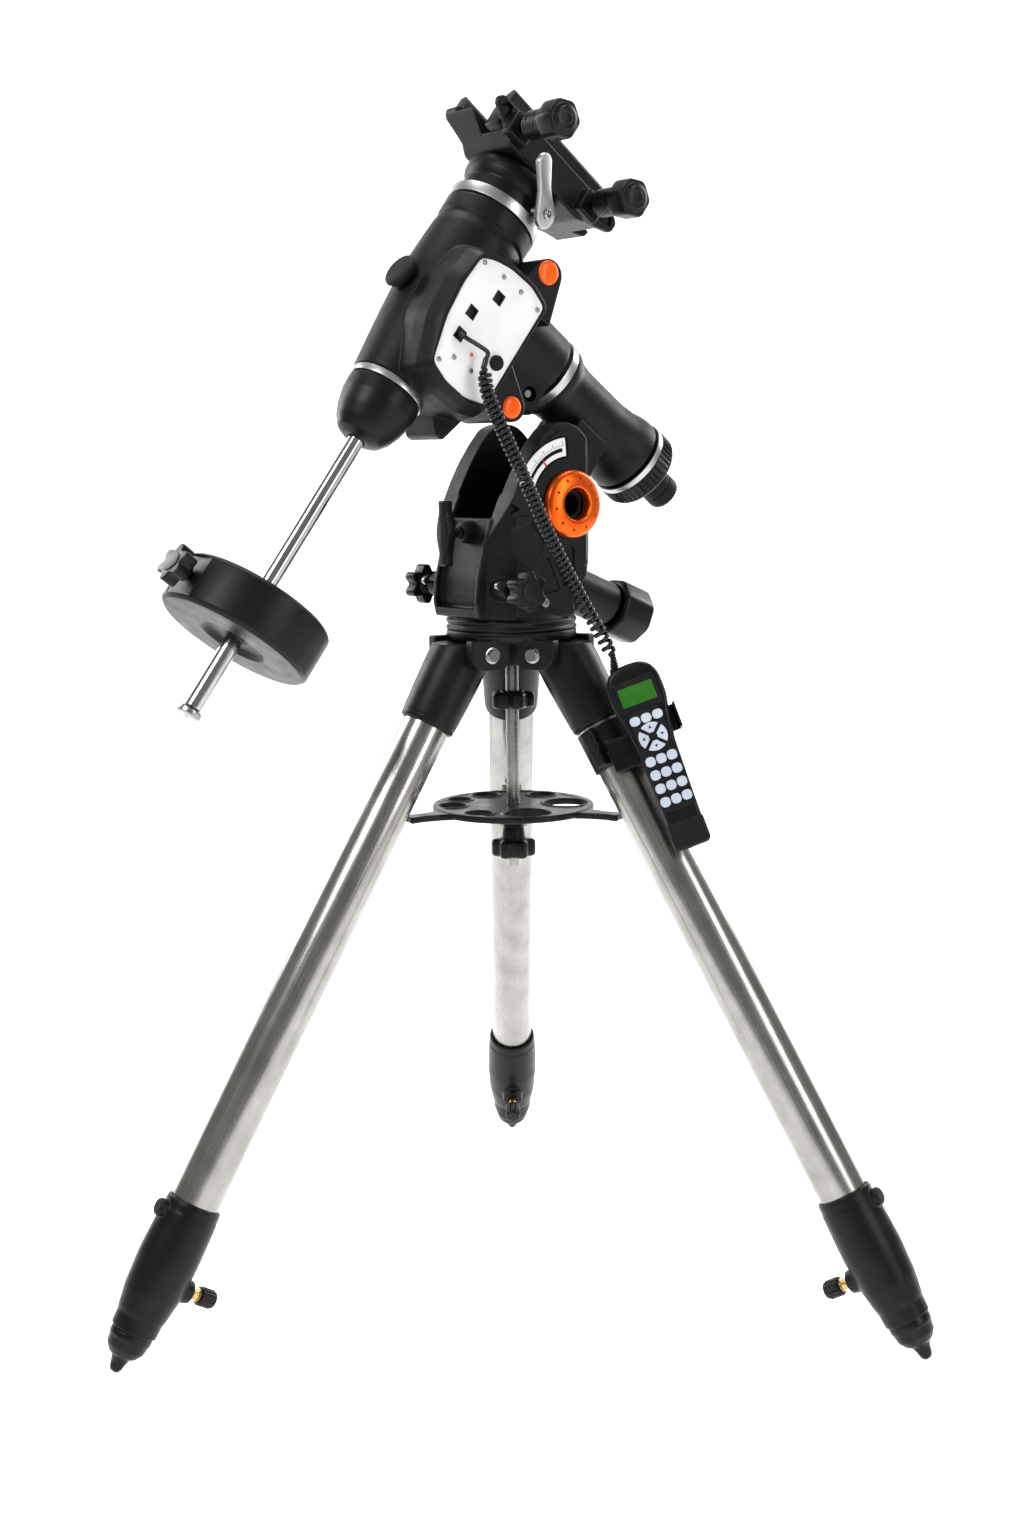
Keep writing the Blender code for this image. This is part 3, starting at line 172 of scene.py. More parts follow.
def ranged(tree, value, low, high, start=0.3, end=0.7):
    made = tree.nodes.new("ShaderNodeMapRange")
    for socket, number in zip(("From Min", "From Max", "To Min", "To Max"),
                              (start, end, low, high)):
        made.inputs[socket].default_value = number
    tree.links.new(value, made.inputs["Value"])
    return made.outputs["Result"]


def blended(tree, factor, one, two):
    """A mix of two colours, each a tuple or an output."""
    made = tree.nodes.new("ShaderNodeMix")
    made.data_type = "RGBA"
    for socket, colour in (("A", one), ("B", two)):
        if isinstance(colour, tuple):
            made.inputs[socket].default_value = (*colour, 1)
        else:
            tree.links.new(colour, made.inputs[socket])
    tree.links.new(factor, made.inputs["Factor"])
    return made.outputs["Result"]


def bumped(tree, shader, height, strength, distance):
    made = tree.nodes.new("ShaderNodeBump")
    made.inputs["Strength"].default_value = strength
    made.inputs["Distance"].default_value = distance
    tree.links.new(height, made.inputs["Height"])
    tree.links.new(made.outputs["Normal"], shader.inputs["Normal"])


def coated(name, dark, light, rough, grain, depth, wear=None, sheen=0.0, coat=0.0, shine=0.5):
    """A paint, plastic or rubber: cloudy colour, uneven gloss, a fine grain and rubbed edges."""
    made, tree, shader = nodes_of(name)
    wide = noise(tree, scaled(tree, (1, 1, 1)), 22.0, 4.0)
    fine = noise(tree, scaled(tree, (1, 1, 1)), grain, 2.0)
    colour = blended(tree, ranged(tree, wide, 0, 1), dark, light)
    if wear:
        geometry = tree.nodes.new("ShaderNodeNewGeometry")
        edge = ranged(tree, geometry.outputs["Pointiness"], 0.0, 1.0, 0.53, 0.60)
        patch = ranged(tree, noise(tree, scaled(tree, (1, 1, 1)), 160.0, 5.0), 0.0, 1.0, 0.45, 0.75)
        colour = blended(tree, product(tree, edge, patch), colour, wear)
    tree.links.new(colour, shader.inputs["Base Color"])
    gloss = ranged(tree, noise(tree, scaled(tree, (1, 1, 1)), 60.0, 5.0), rough - 0.06, rough + 0.08)
    tree.links.new(gloss, shader.inputs["Roughness"])
    shader.inputs["Specular IOR Level"].default_value = shine
    if sheen:
        shader.inputs["Sheen Weight"].default_value = sheen
    if coat:
        shader.inputs["Coat Weight"].default_value = coat
        shader.inputs["Coat Roughness"].default_value = 0.12
    bumped(tree, shader, fine, 0.55, depth)
    return made


def machined(name, dark, light, rough, vector, spread=0.10, depth=0.00003, metallic=1.0):
    """A metal with the marks of its brush or lathe along one direction."""
    made, tree, shader = nodes_of(name)
    lines = noise(tree, vector(tree), 1.0, 4.0, 0.6)
    cloud = noise(tree, scaled(tree, (1, 1, 1)), 35.0, 4.0)
    tree.links.new(blended(tree, ranged(tree, cloud, 0, 1), dark, light),
                   shader.inputs["Base Color"])
    tree.links.new(ranged(tree, lines, rough - spread, rough + spread),
                   shader.inputs["Roughness"])
    shader.inputs["Metallic"].default_value = metallic
    bumped(tree, shader, lines, 0.35, depth)
    return made


M = {
    "coat": coated("black_powder_coat", (0.0034, 0.0036, 0.0038), (0.0062, 0.0064, 0.0066),
                   0.34, 1500.0, 0.00022, wear=(0.014, 0.014, 0.015), shine=0.15),
    "cast": coated("black_cast_coat", (0.0034, 0.0036, 0.0038), (0.0070, 0.0072, 0.0074),
                   0.38, 900.0, 0.00045, wear=(0.015, 0.015, 0.016), shine=0.14),
    "plastic": coated("black_moulding", (0.0034, 0.0034, 0.0036), (0.0060, 0.0060, 0.0062),
                      0.30, 2600.0, 0.00010, wear=(0.010, 0.010, 0.010), shine=0.17),
    "rubber": coated("black_rubber", (0.0048, 0.0048, 0.0050), (0.0085, 0.0085, 0.0088),
                     0.60, 1900.0, 0.00012, sheen=0.02, shine=0.12),
    "jacket": coated("cord_jacket", (0.003, 0.003, 0.0032), (0.006, 0.006, 0.0062),
                     0.24, 2400.0, 0.00006, shine=0.30),
    "tube": machined("brushed_tube", (0.25, 0.243, 0.226), (0.34, 0.331, 0.311), 0.24,
                     lambda t: scaled(t, (1400, 1400, 9))),
    "ring": machined("turned_ring", (0.38, 0.38, 0.39), (0.47, 0.47, 0.48), 0.33,
                     lambda t: turned_coords(t, 2600, 2600)),
    "chrome": machined("polished_shaft", (0.33, 0.33, 0.325), (0.41, 0.41, 0.40), 0.10,
                       lambda t: turned_coords(t, 1500, 500), 0.05, 0.00001),
    "steel": machined("machined_steel", (0.24, 0.24, 0.235), (0.33, 0.33, 0.32), 0.30,
                      lambda t: turned_coords(t, 2200, 2200)),
    "brass": machined("turned_brass", (0.50, 0.34, 0.12), (0.62, 0.43, 0.17), 0.28,
                      lambda t: turned_coords(t, 2200, 2200)),
    "lever": machined("cast_lever", (0.36, 0.37, 0.38), (0.46, 0.47, 0.48), 0.38,
                      lambda t: scaled(t, (1300, 1300, 1300)), 0.08, 0.00010),
    "orange": machined("orange_anodised", (0.66, 0.080, 0.003), (0.82, 0.115, 0.005), 0.30,
                       lambda t: turned_coords(t, 2400, 2400), 0.07, 0.00002, 0.85),
    "orange_cap": coated("orange_lens", (0.80, 0.080, 0.001), (0.92, 0.110, 0.002), 0.20,
                         900.0, 0.00004, shine=0.25),
    "panel": coated("white_enamel", (0.68, 0.685, 0.69), (0.74, 0.745, 0.75), 0.42,
                    2200.0, 0.00003),
    "print": coated("printed_marks", (0.02, 0.02, 0.022), (0.035, 0.035, 0.037), 0.5,
                    2200.0, 0.00002),
    "red": coated("red_pointer", (0.50, 0.015, 0.006), (0.60, 0.022, 0.010), 0.35, 1500.0, 0.00003),
    "keys": coated("key_caps", (0.40, 0.455, 0.52), (0.49, 0.545, 0.61), 0.46, 1900.0, 0.00005,
                   shine=0.3),
    "screen": coated("lcd_glass", (0.012, 0.085, 0.004), (0.020, 0.125, 0.007), 0.16,
                     700.0, 0.00001, coat=0.3, shine=0.3),
    "bezel": coated("lcd_bezel", (0.004, 0.004, 0.0045), (0.006, 0.006, 0.0065), 0.14,
                    1200.0, 0.00001, shine=0.4),
    # painted shade: a near-black, darker than the black coat, put on the latitude slot and the axle pin in
    # its bore, where there is only shade
    "dark": coated("painted_shade_recess", (0.0015, 0.0015, 0.0015), (0.003, 0.003, 0.003), 0.55,
                   1500.0, 0.00005, shine=0.1),
}
# finishes with no direction, whose grain lies in the frame of the whole object
EVEN_FINISHES = ("coat", "cast", "plastic", "rubber", "jacket")


# ---------------------------------------------------------------- shapes
def turned(profile, steps=72):
    """A solid of revolution about Z from (radius, height) points."""
    shape = bmesh.new()
    rings = []
    for radius, height in profile:
        if radius <= 0.0:
            rings.append([shape.verts.new((0, 0, height))])
            continue
        rings.append([
            shape.verts.new((radius * math.cos(2 * math.pi * k / steps),
                             radius * math.sin(2 * math.pi * k / steps), height))
            for k in range(steps)
        ])
    pairs = list(zip(rings, rings[1:]))
    if profile[0][0] > 0.0:
        pairs.append((rings[-1], rings[0]))
    for upper, lower in pairs:
        for k in range(steps):
            nxt = (k + 1) % steps
            if len(upper) == 1:
                shape.faces.new((upper[0], lower[k], lower[nxt]))
            elif len(lower) == 1:
                shape.faces.new((upper[k], lower[0], upper[nxt]))
            else:
                shape.faces.new((upper[k], lower[k], lower[nxt], upper[nxt]))
    bmesh.ops.recalc_face_normals(shape, faces=shape.faces)
    return shape


def eased(points, radius, count=3, closed=False):
    """The same path with its corners rounded."""
    result = []
    total = len(points)
    for k, point in enumerate(points):
        if not closed and k in (0, total - 1):
            result.append(tuple(point))
            continue
        here = Vector(point)
        before = Vector(points[k - 1]) - here
        after = Vector(points[(k + 1) % total]) - here
        if before.length < 1e-9 or after.length < 1e-9:
            result.append(tuple(point))
            continue
        reach = min(radius, before.length * 0.45, after.length * 0.45)
        start = here + before.normalized() * reach
        end = here + after.normalized() * reach
        for j in range(count + 1):
            t = j / count
            result.append(tuple((1 - t) ** 2 * start + 2 * t * (1 - t) * here + t * t * end))
    return result


def lathe(profile, radius=0.0012, steps=72, closed=False, count=3):
    return turned(eased(profile, radius, count, closed), steps)


def rod(radius, low, high, steps=32, edge=0.0):
    profile = [(0, high), (radius, high), (radius, low), (0, low)]
    return turned(eased(profile, edge) if edge else profile, steps)


def pipe(outer, inner, low, high, steps=72, edge=0.0006):
    return lathe([(outer, high), (outer, low), (inner, low), (inner, high)], edge, steps, True)


def slab(outline, low, high):
    shape = bmesh.new()
    face = shape.faces.new([shape.verts.new((x, y, low)) for x, y in outline])
    made = bmesh.ops.extrude_face_region(shape, geom=[face])
    lifted = [item for item in made["geom"] if isinstance(item, bmesh.types.BMVert)]
    bmesh.ops.translate(shape, verts=lifted, vec=(0, 0, high - low))
    bmesh.ops.recalc_face_normals(shape, faces=shape.faces)
    return shape


def block(low, high):
    shape = bmesh.new()
    size = Vector(high) - Vector(low)
    middle = (Vector(high) + Vector(low)) / 2
    bmesh.ops.create_cube(shape, size=1.0,
                          matrix=Matrix.Translation(middle) @ Matrix.Diagonal((*size, 1.0)))
    return shape


def arc(centre, radius, start, end, count):
    return [
        (centre[0] + radius * math.cos(math.radians(start + (end - start) * k / (count - 1))),
         centre[1] + radius * math.sin(math.radians(start + (end - start) * k / (count - 1))))
        for k in range(count)
    ]


def rounded(width, height, radius, points=6):
    outline = []
    for side_x, side_y, start in ((1, 1, 0), (-1, 1, 90), (-1, -1, 180), (1, -1, 270)):
        centre = (side_x * (width / 2 - radius), side_y * (height / 2 - radius))
        outline += arc(centre, radius, start, start + 90, points)
    return outline


def star(radius, depth, lobes, points=14):
    outline = []
    for k in range(lobes * points):
        angle = 2 * math.pi * k / (lobes * points)
        reach = radius - depth * (0.5 - 0.5 * math.cos(lobes * angle)) ** 1.3
        outline.append((reach * math.cos(angle), reach * math.sin(angle)))
    return outline


def lofted(sections):
    shape = bmesh.new()
    rings = [[shape.verts.new(point) for point in section] for section in sections]
    for lower, upper in zip(rings, rings[1:]):
        for k, corner in enumerate(lower):
            nxt = (k + 1) % len(lower)
            shape.faces.new((corner, lower[nxt], upper[nxt], upper[k]))
    shape.faces.new(rings[0])
    shape.faces.new(rings[-1])
    bmesh.ops.recalc_face_normals(shape, faces=shape.faces)
    return shape


def moved(shape, place=(0, 0, 0), rotation=None):
    bmesh.ops.transform(shape, verts=shape.verts, matrix=put(Matrix.Identity(4), place, rotation))
    return shape


def soft(shape, width, segments=3, angle=30.0):
    """Rounds the sharp edges of a shape."""
    sharp = [edge for edge in shape.edges
             if len(edge.link_faces) == 2 and edge.calc_face_angle(0) > math.radians(angle)]
    bmesh.ops.bevel(shape, geom=sharp, offset=width, segments=segments, profile=0.5,
                    affect="EDGES", clamp_overlap=True)
    return shape


def link(shape, name="shape"):
    mesh = bpy.data.meshes.new(name)
    shape.to_mesh(mesh)
    shape.free()
    made = bpy.data.objects.new(name, mesh)
    bpy.context.scene.collection.objects.link(made)
    return made


def baked(made):
    """Applies an object's modifiers."""
    graph = bpy.context.evaluated_depsgraph_get()
    mesh = bpy.data.meshes.new_from_object(made.evaluated_get(graph))
    made.modifiers.clear()
    old = made.data
    made.data = mesh
    bpy.data.meshes.remove(old)
    return made


def boolean(made, operation, other):
    step = made.modifiers.new(operation.lower(), "BOOLEAN")
    step.operation = operation
    step.object = other
    step.solver = "EXACT"


def carved(shape, operation, tool):
    """A shape after one boolean with a tool."""
    made, other = link(shape), link(tool)
    boolean(made, operation, other)
    result = bmesh.new()
    result.from_mesh(baked(made).data)
    for spent in (made, other):
        bpy.data.objects.remove(spent, do_unlink=True)
    return result


def merged(shapes):
    """Several shapes as one."""
    whole = bmesh.new()
    for shape in shapes:
        mesh = bpy.data.meshes.new("part")
        shape.to_mesh(mesh)
        shape.free()
        whole.from_mesh(mesh)
        bpy.data.meshes.remove(mesh)
    return whole


def piece(name, base, adds, finish, body, stands_for=(), cuts=(), voxel=None,
          smooth=4, keep=60000, angle=32.0):
    """One piece of the object, from shapes given in its own frame."""
    adds = [adds] if isinstance(adds, bmesh.types.BMesh) else list(adds)
    cuts = [cuts] if isinstance(cuts, bmesh.types.BMesh) else list(cuts)
    made = link(adds[0], name)
    others = []
    for operation, shapes in (("UNION", adds[1:]), ("DIFFERENCE", cuts)):
        for shape in shapes:
            other = link(shape)
            others.append(other)
            boolean(made, operation, other)
    if others:
        baked(made)
        for other in others:
            bpy.data.objects.remove(other, do_unlink=True)
    if voxel:
        step = made.modifiers.new("skin", "REMESH")
        step.mode = "VOXEL"
        step.voxel_size = voxel
        step = made.modifiers.new("ease", "SMOOTH")
        step.factor = 0.5
        step.iterations = smooth
        baked(made)
        faces = len(made.data.polygons) * 2
        if faces > keep:
            step = made.modifiers.new("thin", "DECIMATE")
            step.ratio = keep / faces
            baked(made)
    made.data.shade_smooth()
    if not voxel:
        made.data.set_sharp_from_angle(angle=math.radians(angle))
    made.data.name = name
    made.data.materials.clear()
    made.data.materials.append(M[finish])
    if finish in EVEN_FINISHES:
        made.data.transform(base)
    else:
        made.matrix_world = base.copy()
    if stands_for:
        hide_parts(*stands_for)
    if body:
        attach(made, body)
    return made


def hexagon(radius):
    return arc((0, 0), radius, 0, 300, 6)


def bolt_head(name, base, place, axis, radius, height, body, finish="chrome", socket=False):
    """A hexagon head with a chamfered top on a washer, or a round socket head."""
    turn = facing(axis, (0.3, 0.2, 1))
    if socket:
        head = lathe([(0, height), (radius, height), (radius, 0), (0, 0)], 0.0006, 32)
        hollow = moved(slab(hexagon(radius * 0.5), height * 0.45, height * 1.2), place, turn)
        piece(name, base, moved(head, place, turn), finish, body, cuts=hollow)
        return
    head = slab(hexagon(radius), 0.0008, height)
    dome = turned([(0, height + 0.001), (radius * 0.80, height + 0.001), (radius * 1.02, height * 0.62),
                   (radius * 1.02, 0.0004), (0, 0.0004)], 48)
    made = piece(name, base, moved(head, place, turn), finish, body)
    cap = link(moved(dome, place, turn))
    cap.matrix_world = made.matrix_world.copy()
    boolean(made, "INTERSECT", cap)
    baked(made)
    bpy.data.objects.remove(cap, do_unlink=True)
    washer = moved(lathe([(0, 0.0010), (radius * 1.22, 0.0010), (radius * 1.22, -0.0005), (0, -0.0005)],
                         0.0004, 40), place, turn)
    piece(name + "_washer", base, washer, finish, body)


# ---------------------------------------------------------------- cords
LEAD_RADIUS = 0.0023
WIRE_RADIUS = 0.0023
HELIX_RADIUS = 0.0054
HELIX_PITCH = 0.0056
HELIX_OPENS = 0.0030        # added to the pitch at the coil's lower end
LEAD_ROUTE = [
    (0.0815, -0.0753, 0.2228), (0.0870, -0.0776, 0.2243), (0.0922, -0.0790, 0.2205),
    (0.0952, -0.0770, 0.2068), (0.0962, -0.0755, 0.1957), (0.0960, -0.0768, 0.1925),
    (0.0957, -0.0835, 0.1908),
]
COIL_ROUTE = [
    (-0.0261, -0.1374, 0.9993), (-0.0225, -0.1393, 0.9726), (-0.0100, -0.1354, 0.9414),
    (0.0135, -0.1271, 0.8881), (0.0415, -0.1172, 0.8236), (0.0732, -0.1039, 0.7616),
    (0.0931, -0.0949, 0.7257), (0.1037, -0.0903, 0.7055),
]
# the bodies that the coil crosses, and the share of its length in the piece at each crossing
CROSSINGS = [("ra", "altitude", 0.34), ("altitude", "azimuth", 0.24), ("azimuth", "base", 0.14),
             ("base", "leg_right", 0.12), ("leg_right", "hand_controller", 0.16)]


def smooth_route(points, spacing):
    """Points about spacing apart on a smooth curve through the given ones."""
    points = [Vector(point) for point in points]
    padded = [2 * points[0] - points[1]] + points + [2 * points[-1] - points[-2]]
    dense = []
    for before, start, end, after in zip(padded, padded[1:], padded[2:], padded[3:]):
        for k in range(24):
            t = k / 24
            dense.append(0.5 * (2 * start + (end - before) * t
                                + (2 * before - 5 * start + 4 * end - after) * t * t
                                + (3 * start - before - 3 * end + after) * t ** 3))
    dense.append(points[-1])
    length = sum((b - a).length for a, b in zip(dense, dense[1:]))
    count = max(2, round(length / spacing))
    result, gone, target = [dense[0]], 0.0, length / count
    for a, b in zip(dense, dense[1:]):
        step = (b - a).length
        while gone + step >= target * len(result) and len(result) < count:
            result.append(a.lerp(b, (target * len(result) - gone) / step))
        gone += step
    return result + [dense[-1]]


def carried(points):
    """For each point of a path, two directions across it that turn as little as they can."""
    ways = [(b - a).normalized() for a, b in zip(points, points[1:])]
    ways.append(ways[-1])
    across = ways[0].orthogonal().normalized()
    result = []
    for way in ways:
        across = (across - across.dot(way) * way).normalized()
        result.append((across, way.cross(across)))
    return result


def run_length(points):
    return sum((b - a).length for a, b in zip(points, points[1:]))


def tube(points, sides, radius, ends=(True, True)):
    """A round tube along a path, from its points and the two directions across each."""
    shape = bmesh.new()
    rings = []
    for point, (one, two) in zip(points, sides):
        rings.append([shape.verts.new(point + radius * (math.cos(2 * math.pi * k / 12) * one
                                                        + math.sin(2 * math.pi * k / 12) * two))
                      for k in range(12)])
    for lower, upper in zip(rings, rings[1:]):
        for k in range(12):
            nxt = (k + 1) % 12
            shape.faces.new((lower[k], lower[nxt], upper[nxt], upper[k]))
    for closed, ring in zip(ends, (rings[0], rings[-1])):
        if closed:
            shape.faces.new(ring)
    bmesh.ops.recalc_face_normals(shape, faces=shape.faces)
    return shape


def helix(route):
    """The curly cord's own line: straight at its two ends, with wider turns at the lower one."""
    middle = smooth_route(route, HELIX_PITCH / 16)
    sides = carried(middle)
    length = run_length(middle)
    result, angle = [], 0.0
    step = length / (len(middle) - 1)
    for k, (point, (one, two)) in enumerate(zip(middle, sides)):
        along = step * k
        opening = min(1.0, along / 0.010, (length - along) / 0.010)
        reach = HELIX_RADIUS * opening * opening * (3 - 2 * opening)
        loose = min(1.0, max(0.0, along / length - 0.72) / 0.2)
        angle += 2 * math.pi * step / (HELIX_PITCH + HELIX_OPENS * loose)
        result.append(point + reach * (math.cos(angle) * one + math.sin(angle) * two))
    return result


def make_coil():
    line = [STAND @ point for point in helix(COIL_ROUTE)]
    sides = carried(line)
    starts = [0]
    for _, _, share in CROSSINGS:
        starts.append(starts[-1] + round(share * (len(line) - 1)))
    starts[-1] = len(line) - 1
    for k, (above_body, below_body, _) in enumerate(CROSSINGS):
        first, last = starts[k], starts[k + 1] + 1
        part_line = line[first:last]
        name = "coiled_cord_" + str(k + 1)
        stands = ["cord_coil"] if k == 0 else []
        made = piece(name, Matrix.Identity(4), tube(part_line, sides[first:last], WIRE_RADIUS),
                     "jacket", None, stands, angle=80)
        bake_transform(made)


def make_lead():
    line = smooth_route(LEAD_ROUTE, 0.0012)
    made = piece("panel_lead", RA, tube(line, carried(line), LEAD_RADIUS), "jacket", "ra",
                 ["cord_lead"], angle=80)
    # where the straight lead goes over into the curly one
    start, end = RA @ Vector(LEAD_ROUTE[-1]), STAND @ Vector(COIL_ROUTE[0])
    way = end - start
    if way.length > 0.004:
        joint = moved(rod(0.0029, -0.003, way.length + 0.003, 24, 0.0012), start, facing(way))
        piece("cord_joint", Matrix.Identity(4), joint, "jacket", "ra")


make_coil()
make_lead()

# ---------------------------------------------------------------- tripod
GAP = 0.0004
TUBE = 0.0254
HEAD_TOP = 0.7295
AXIS_OUT = 0.0078
ROD_BORE = 0.0074
LOCK_AT = (0, 0, -0.728)


def make_tripod_head():
    adds = [lathe([(0, HEAD_TOP), (0.070, HEAD_TOP), (0.070, HEAD_TOP - 0.006), (0.066, 0.718),
                   (0.0225, 0.718), (0.0225, 0.690), (0, 0.690)], 0.0018, 96)]
    for side, azimuth in AZIMUTHS.items():
        spin = Matrix.Rotation(math.radians(azimuth), 3, "Z")
        for sign in (1, -1):
            outline = [(0.030, 0.722), (0.076, 0.722), (0.076, 0.706)]
            outline += arc((0.060, 0.706), 0.016, 0, -90, 8)[1:] + [(0.036, 0.690), (0.030, 0.700)]
            lug = soft(slab(outline, -0.007, 0.007), 0.0012, 2)
            adds.append(moved(lug, spin @ Vector((0, sign * 0.041, 0)), spin @ ACROSS))
    peg = moved(rod(0.0065, HEAD_TOP - 0.004, 0.784, 24),
                Matrix.Rotation(TURN - math.pi / 2, 3, "Z") @ Vector((0, -0.050, 0)))
    piece("tripod_head_casting", STAND, adds + [peg], "cast", "base", ["tripod_head"],
          cuts=rod(0.0080, 0.680, 0.7280), voxel=0.0011, smooth=4)
    for side in AZIMUTHS:
        for sign in (1, -1):
            bolt_head(f"pivot_bolt_{side}_{'a' if sign > 0 else 'b'}", RADIAL[side],
                      (PIVOT_OUT, sign * 0.0482, 0.706), (0, sign, 0), 0.0072, 0.0050, "base")
    piece("centre_rod", STAND, rod(0.007, 0.468, 0.7272, 40, 0.001), "steel", "base",
          ["mounting_rod"])
    knob = soft(slab(star(0.0245, 0.006, 5), 0.643, 0.660), 0.0035, 4)
    hub = lathe([(0, 0.6615), (0.0125, 0.6615), (0.0125, 0.6420), (0, 0.6420)], 0.001, 48)
    piece("mounting_star", STAND, [knob, hub], "plastic", "mounting_knob", ["mounting_knob"],
          cuts=rod(ROD_BORE, 0.6, 0.7))


def make_leg(side):
    base, body = LEG[side], "leg_" + side
    axis = (AXIS_OUT, 0, 0)
    socket = lathe([
        (0.0305, 0.038), (0.0325, 0.020), (0.0325, -0.030), (0.0316, -0.060), (0.0303, -0.0865),
        (0.0298, -0.0872), (0.0298, -0.0885), (0.0302, -0.0892), (0.0290, -0.0940), (0.0258, -0.0940),
        (0.0258, -0.069), (0.012, -0.069), (0.012, 0.038),
    ], 0.0012, 96, True, 2)
    pin = rod(0.0130, -0.0336, 0.0336, 40)
    untilt = Matrix.Rotation(LEG_TILT, 3, "Y")
    ceiling = HEAD_TOP - 0.0125
    flat = moved(block((-0.08, -0.08, 0), (0.18, 0.08, 0.06)),
                 untilt @ Vector((-PIVOT_OUT, 0, ceiling - PIVOT_UP)), untilt)
    folded = moved(block((-0.12, -0.08, ceiling - PIVOT_UP), (0.05, 0.08, 0.07)), (0, 0, 0),
                   untilt @ Matrix.Rotation(math.radians(-20), 3, "Y"))
    piece("leg_socket_casting_" + side, base,
          [moved(socket, axis), moved(pin, (0, 0, 0), facing((0, 1, 0)))], "coat", body,
          ["leg_socket_" + side], cuts=[flat, folded], voxel=0.0010, smooth=4)
    centre = put(base, axis)
    piece("leg_tube_upper_" + side, centre, pipe(TUBE, 0.0236, -0.650, -0.070, 96), "tube", body,
          ["leg_tube_" + side])
    clamp = lathe([
        (0.0285, -0.641), (0.0294, -0.645), (0.0294, -0.652), (0.0302, -0.654), (0.0312, -0.680),
        (0.0318, -0.705), (0.0298, -0.740), (0.0262, -0.762), (0.0256, -0.764), (0.0250, -0.766),
        (0.0244, -0.7815), (0.0226, -0.7815), (0.0226, -0.651), (0.0258, -0.651), (0.0258, -0.641),
    ], 0.0010, 96, True, 2)
    inward = facing((-1, 0, 0), (0, 0, 1))
    boss = moved(lathe([(0.0120, 0.0395), (0.0135, 0.0280), (0.0160, 0.0240), (0.0052, 0.0240),
                        (0.0052, 0.0395)], 0.0008, 48, True, 2), LOCK_AT, inward)
    plug = moved(lathe([(0, 0.0375), (0.0080, 0.0375), (0.0095, 0.0355), (0.0095, 0.0270),
                        (0, 0.0270)], 0.0008, 40), (0, 0, -0.657), facing((1, 0, 0)))
    bore = moved(rod(0.0052, 0.0235, 0.05, 24), LOCK_AT, inward)
    piece("leg_clamp_casting_" + side, centre, [clamp, boss, plug], "coat", body,
          ["leg_clamp_" + side], cuts=[bore], voxel=0.0009, smooth=3)
    foot = lathe([
        (0, -0.300), (0.0222, -0.300), (0.0222, -0.7835), (0.0226, -0.7845), (0.0226, -0.7890),
        (0.0215, -0.7920), (0.0200, -0.8005), (0.0152, -0.8072), (0.0105, -0.8100), (0.0082, -0.8150),
        (0.0064, -0.8225), (0.0040, -0.8257), (0, -0.8262),
    ], 0.0012, 72)
    piece("leg_foot_boot_" + side, centre, foot, "plastic", "foot_" + side, ["leg_foot_" + side])
    grip = soft(slab(star(0.0102, 0.0009, 14, 8), 0.0515, 0.0662), 0.0006, 2, 50)
    head = lathe([(0, 0.0690), (0.0085, 0.0690), (0.0094, 0.0668), (0.0094, 0.0506), (0.0080, 0.0498),
                  (0, 0.0498)], 0.0008, 48)
    stem = lathe([(0, 0.0520), (0.0070, 0.0520), (0.0070, 0.0490), (0.0055, 0.0484), (0.0055, 0.0425),
                  (0.0044, 0.0420), (0.0044, 0.0262), (0, 0.0262)], 0.0006, 48)
    knob = put(centre, LOCK_AT, inward)
    piece("leg_lock_grip_" + side, knob, [head, grip], "plastic", "lock_" + side,
          ["leg_lock_knob_" + side])
    piece("leg_lock_stem_" + side, knob, stem, "brass", "lock_" + side)


def make_tray():
    low, high = 0.530, 0.537
    plate = lathe([(0, high - 0.0012), (0.078, high - 0.0012), (0.0815, high), (0.088, high),
                   (0.088, low), (0.050, low), (0.020, low - 0.014), (0.014, low - 0.018),
                   (0, low - 0.018)], 0.0012, 120)
    adds, cuts = [plate], []
    for azimuth in AZIMUTHS.values():
        spin = Matrix.Rotation(math.radians(azimuth), 3, "Z")
        outline = eased([(0.070, -0.023), (0.095, -0.012), (0.116, -0.009), (0.1318, -0.012),
                         (0.1306, 0.0), (0.1318, 0.012), (0.116, 0.009), (0.095, 0.012),
                         (0.070, 0.023)], 0.004, 4, True)
        adds.append(moved(soft(slab(outline, low - 0.001, high - 0.0012), 0.0015, 2), (0, 0, 0), spin))
    holes = [(0.0600, -76.0, 0.0250), (0.0580, 4.0, 0.0240), (0.0665, 60.0, 0.0152),
             (0.0665, 117.0, 0.0152), (0.0665, 152.0, 0.0130), (0.0665, 186.0, 0.0152),
             (0.0665, 236.0, 0.0152)]
    for reach, angle, radius in holes:
        place = (reach * math.cos(math.radians(angle)), reach * math.sin(math.radians(angle)), 0)
        adds.append(moved(pipe(radius + 0.0026, radius - 0.0004, low + 0.001, high + 0.0002, 64), place))
        cuts.append(moved(rod(radius, low - 0.02, high + 0.01, 64), place))
    cuts.append(rod(ROD_BORE, 0.4, 0.6))
    piece("tray_moulding", STAND, adds, "plastic", "tray", ["accessory_tray"], cuts=cuts,
          voxel=0.0009, smooth=3, keep=90000)
    knob = soft(slab(star(0.0240, 0.006, 6), 0.4785, 0.4975), 0.004, 4)
    hub = lathe([(0, 0.5105), (0.0115, 0.5105), (0.0130, 0.4960), (0, 0.4960)], 0.001, 48)
    piece("tray_star", STAND, [knob, hub], "plastic", "tray_knob", ["tray_knob"],
          cuts=rod(ROD_BORE, 0.4, 0.6))


make_tripod_head()
for side in AZIMUTHS:
    make_leg(side)
make_tray()

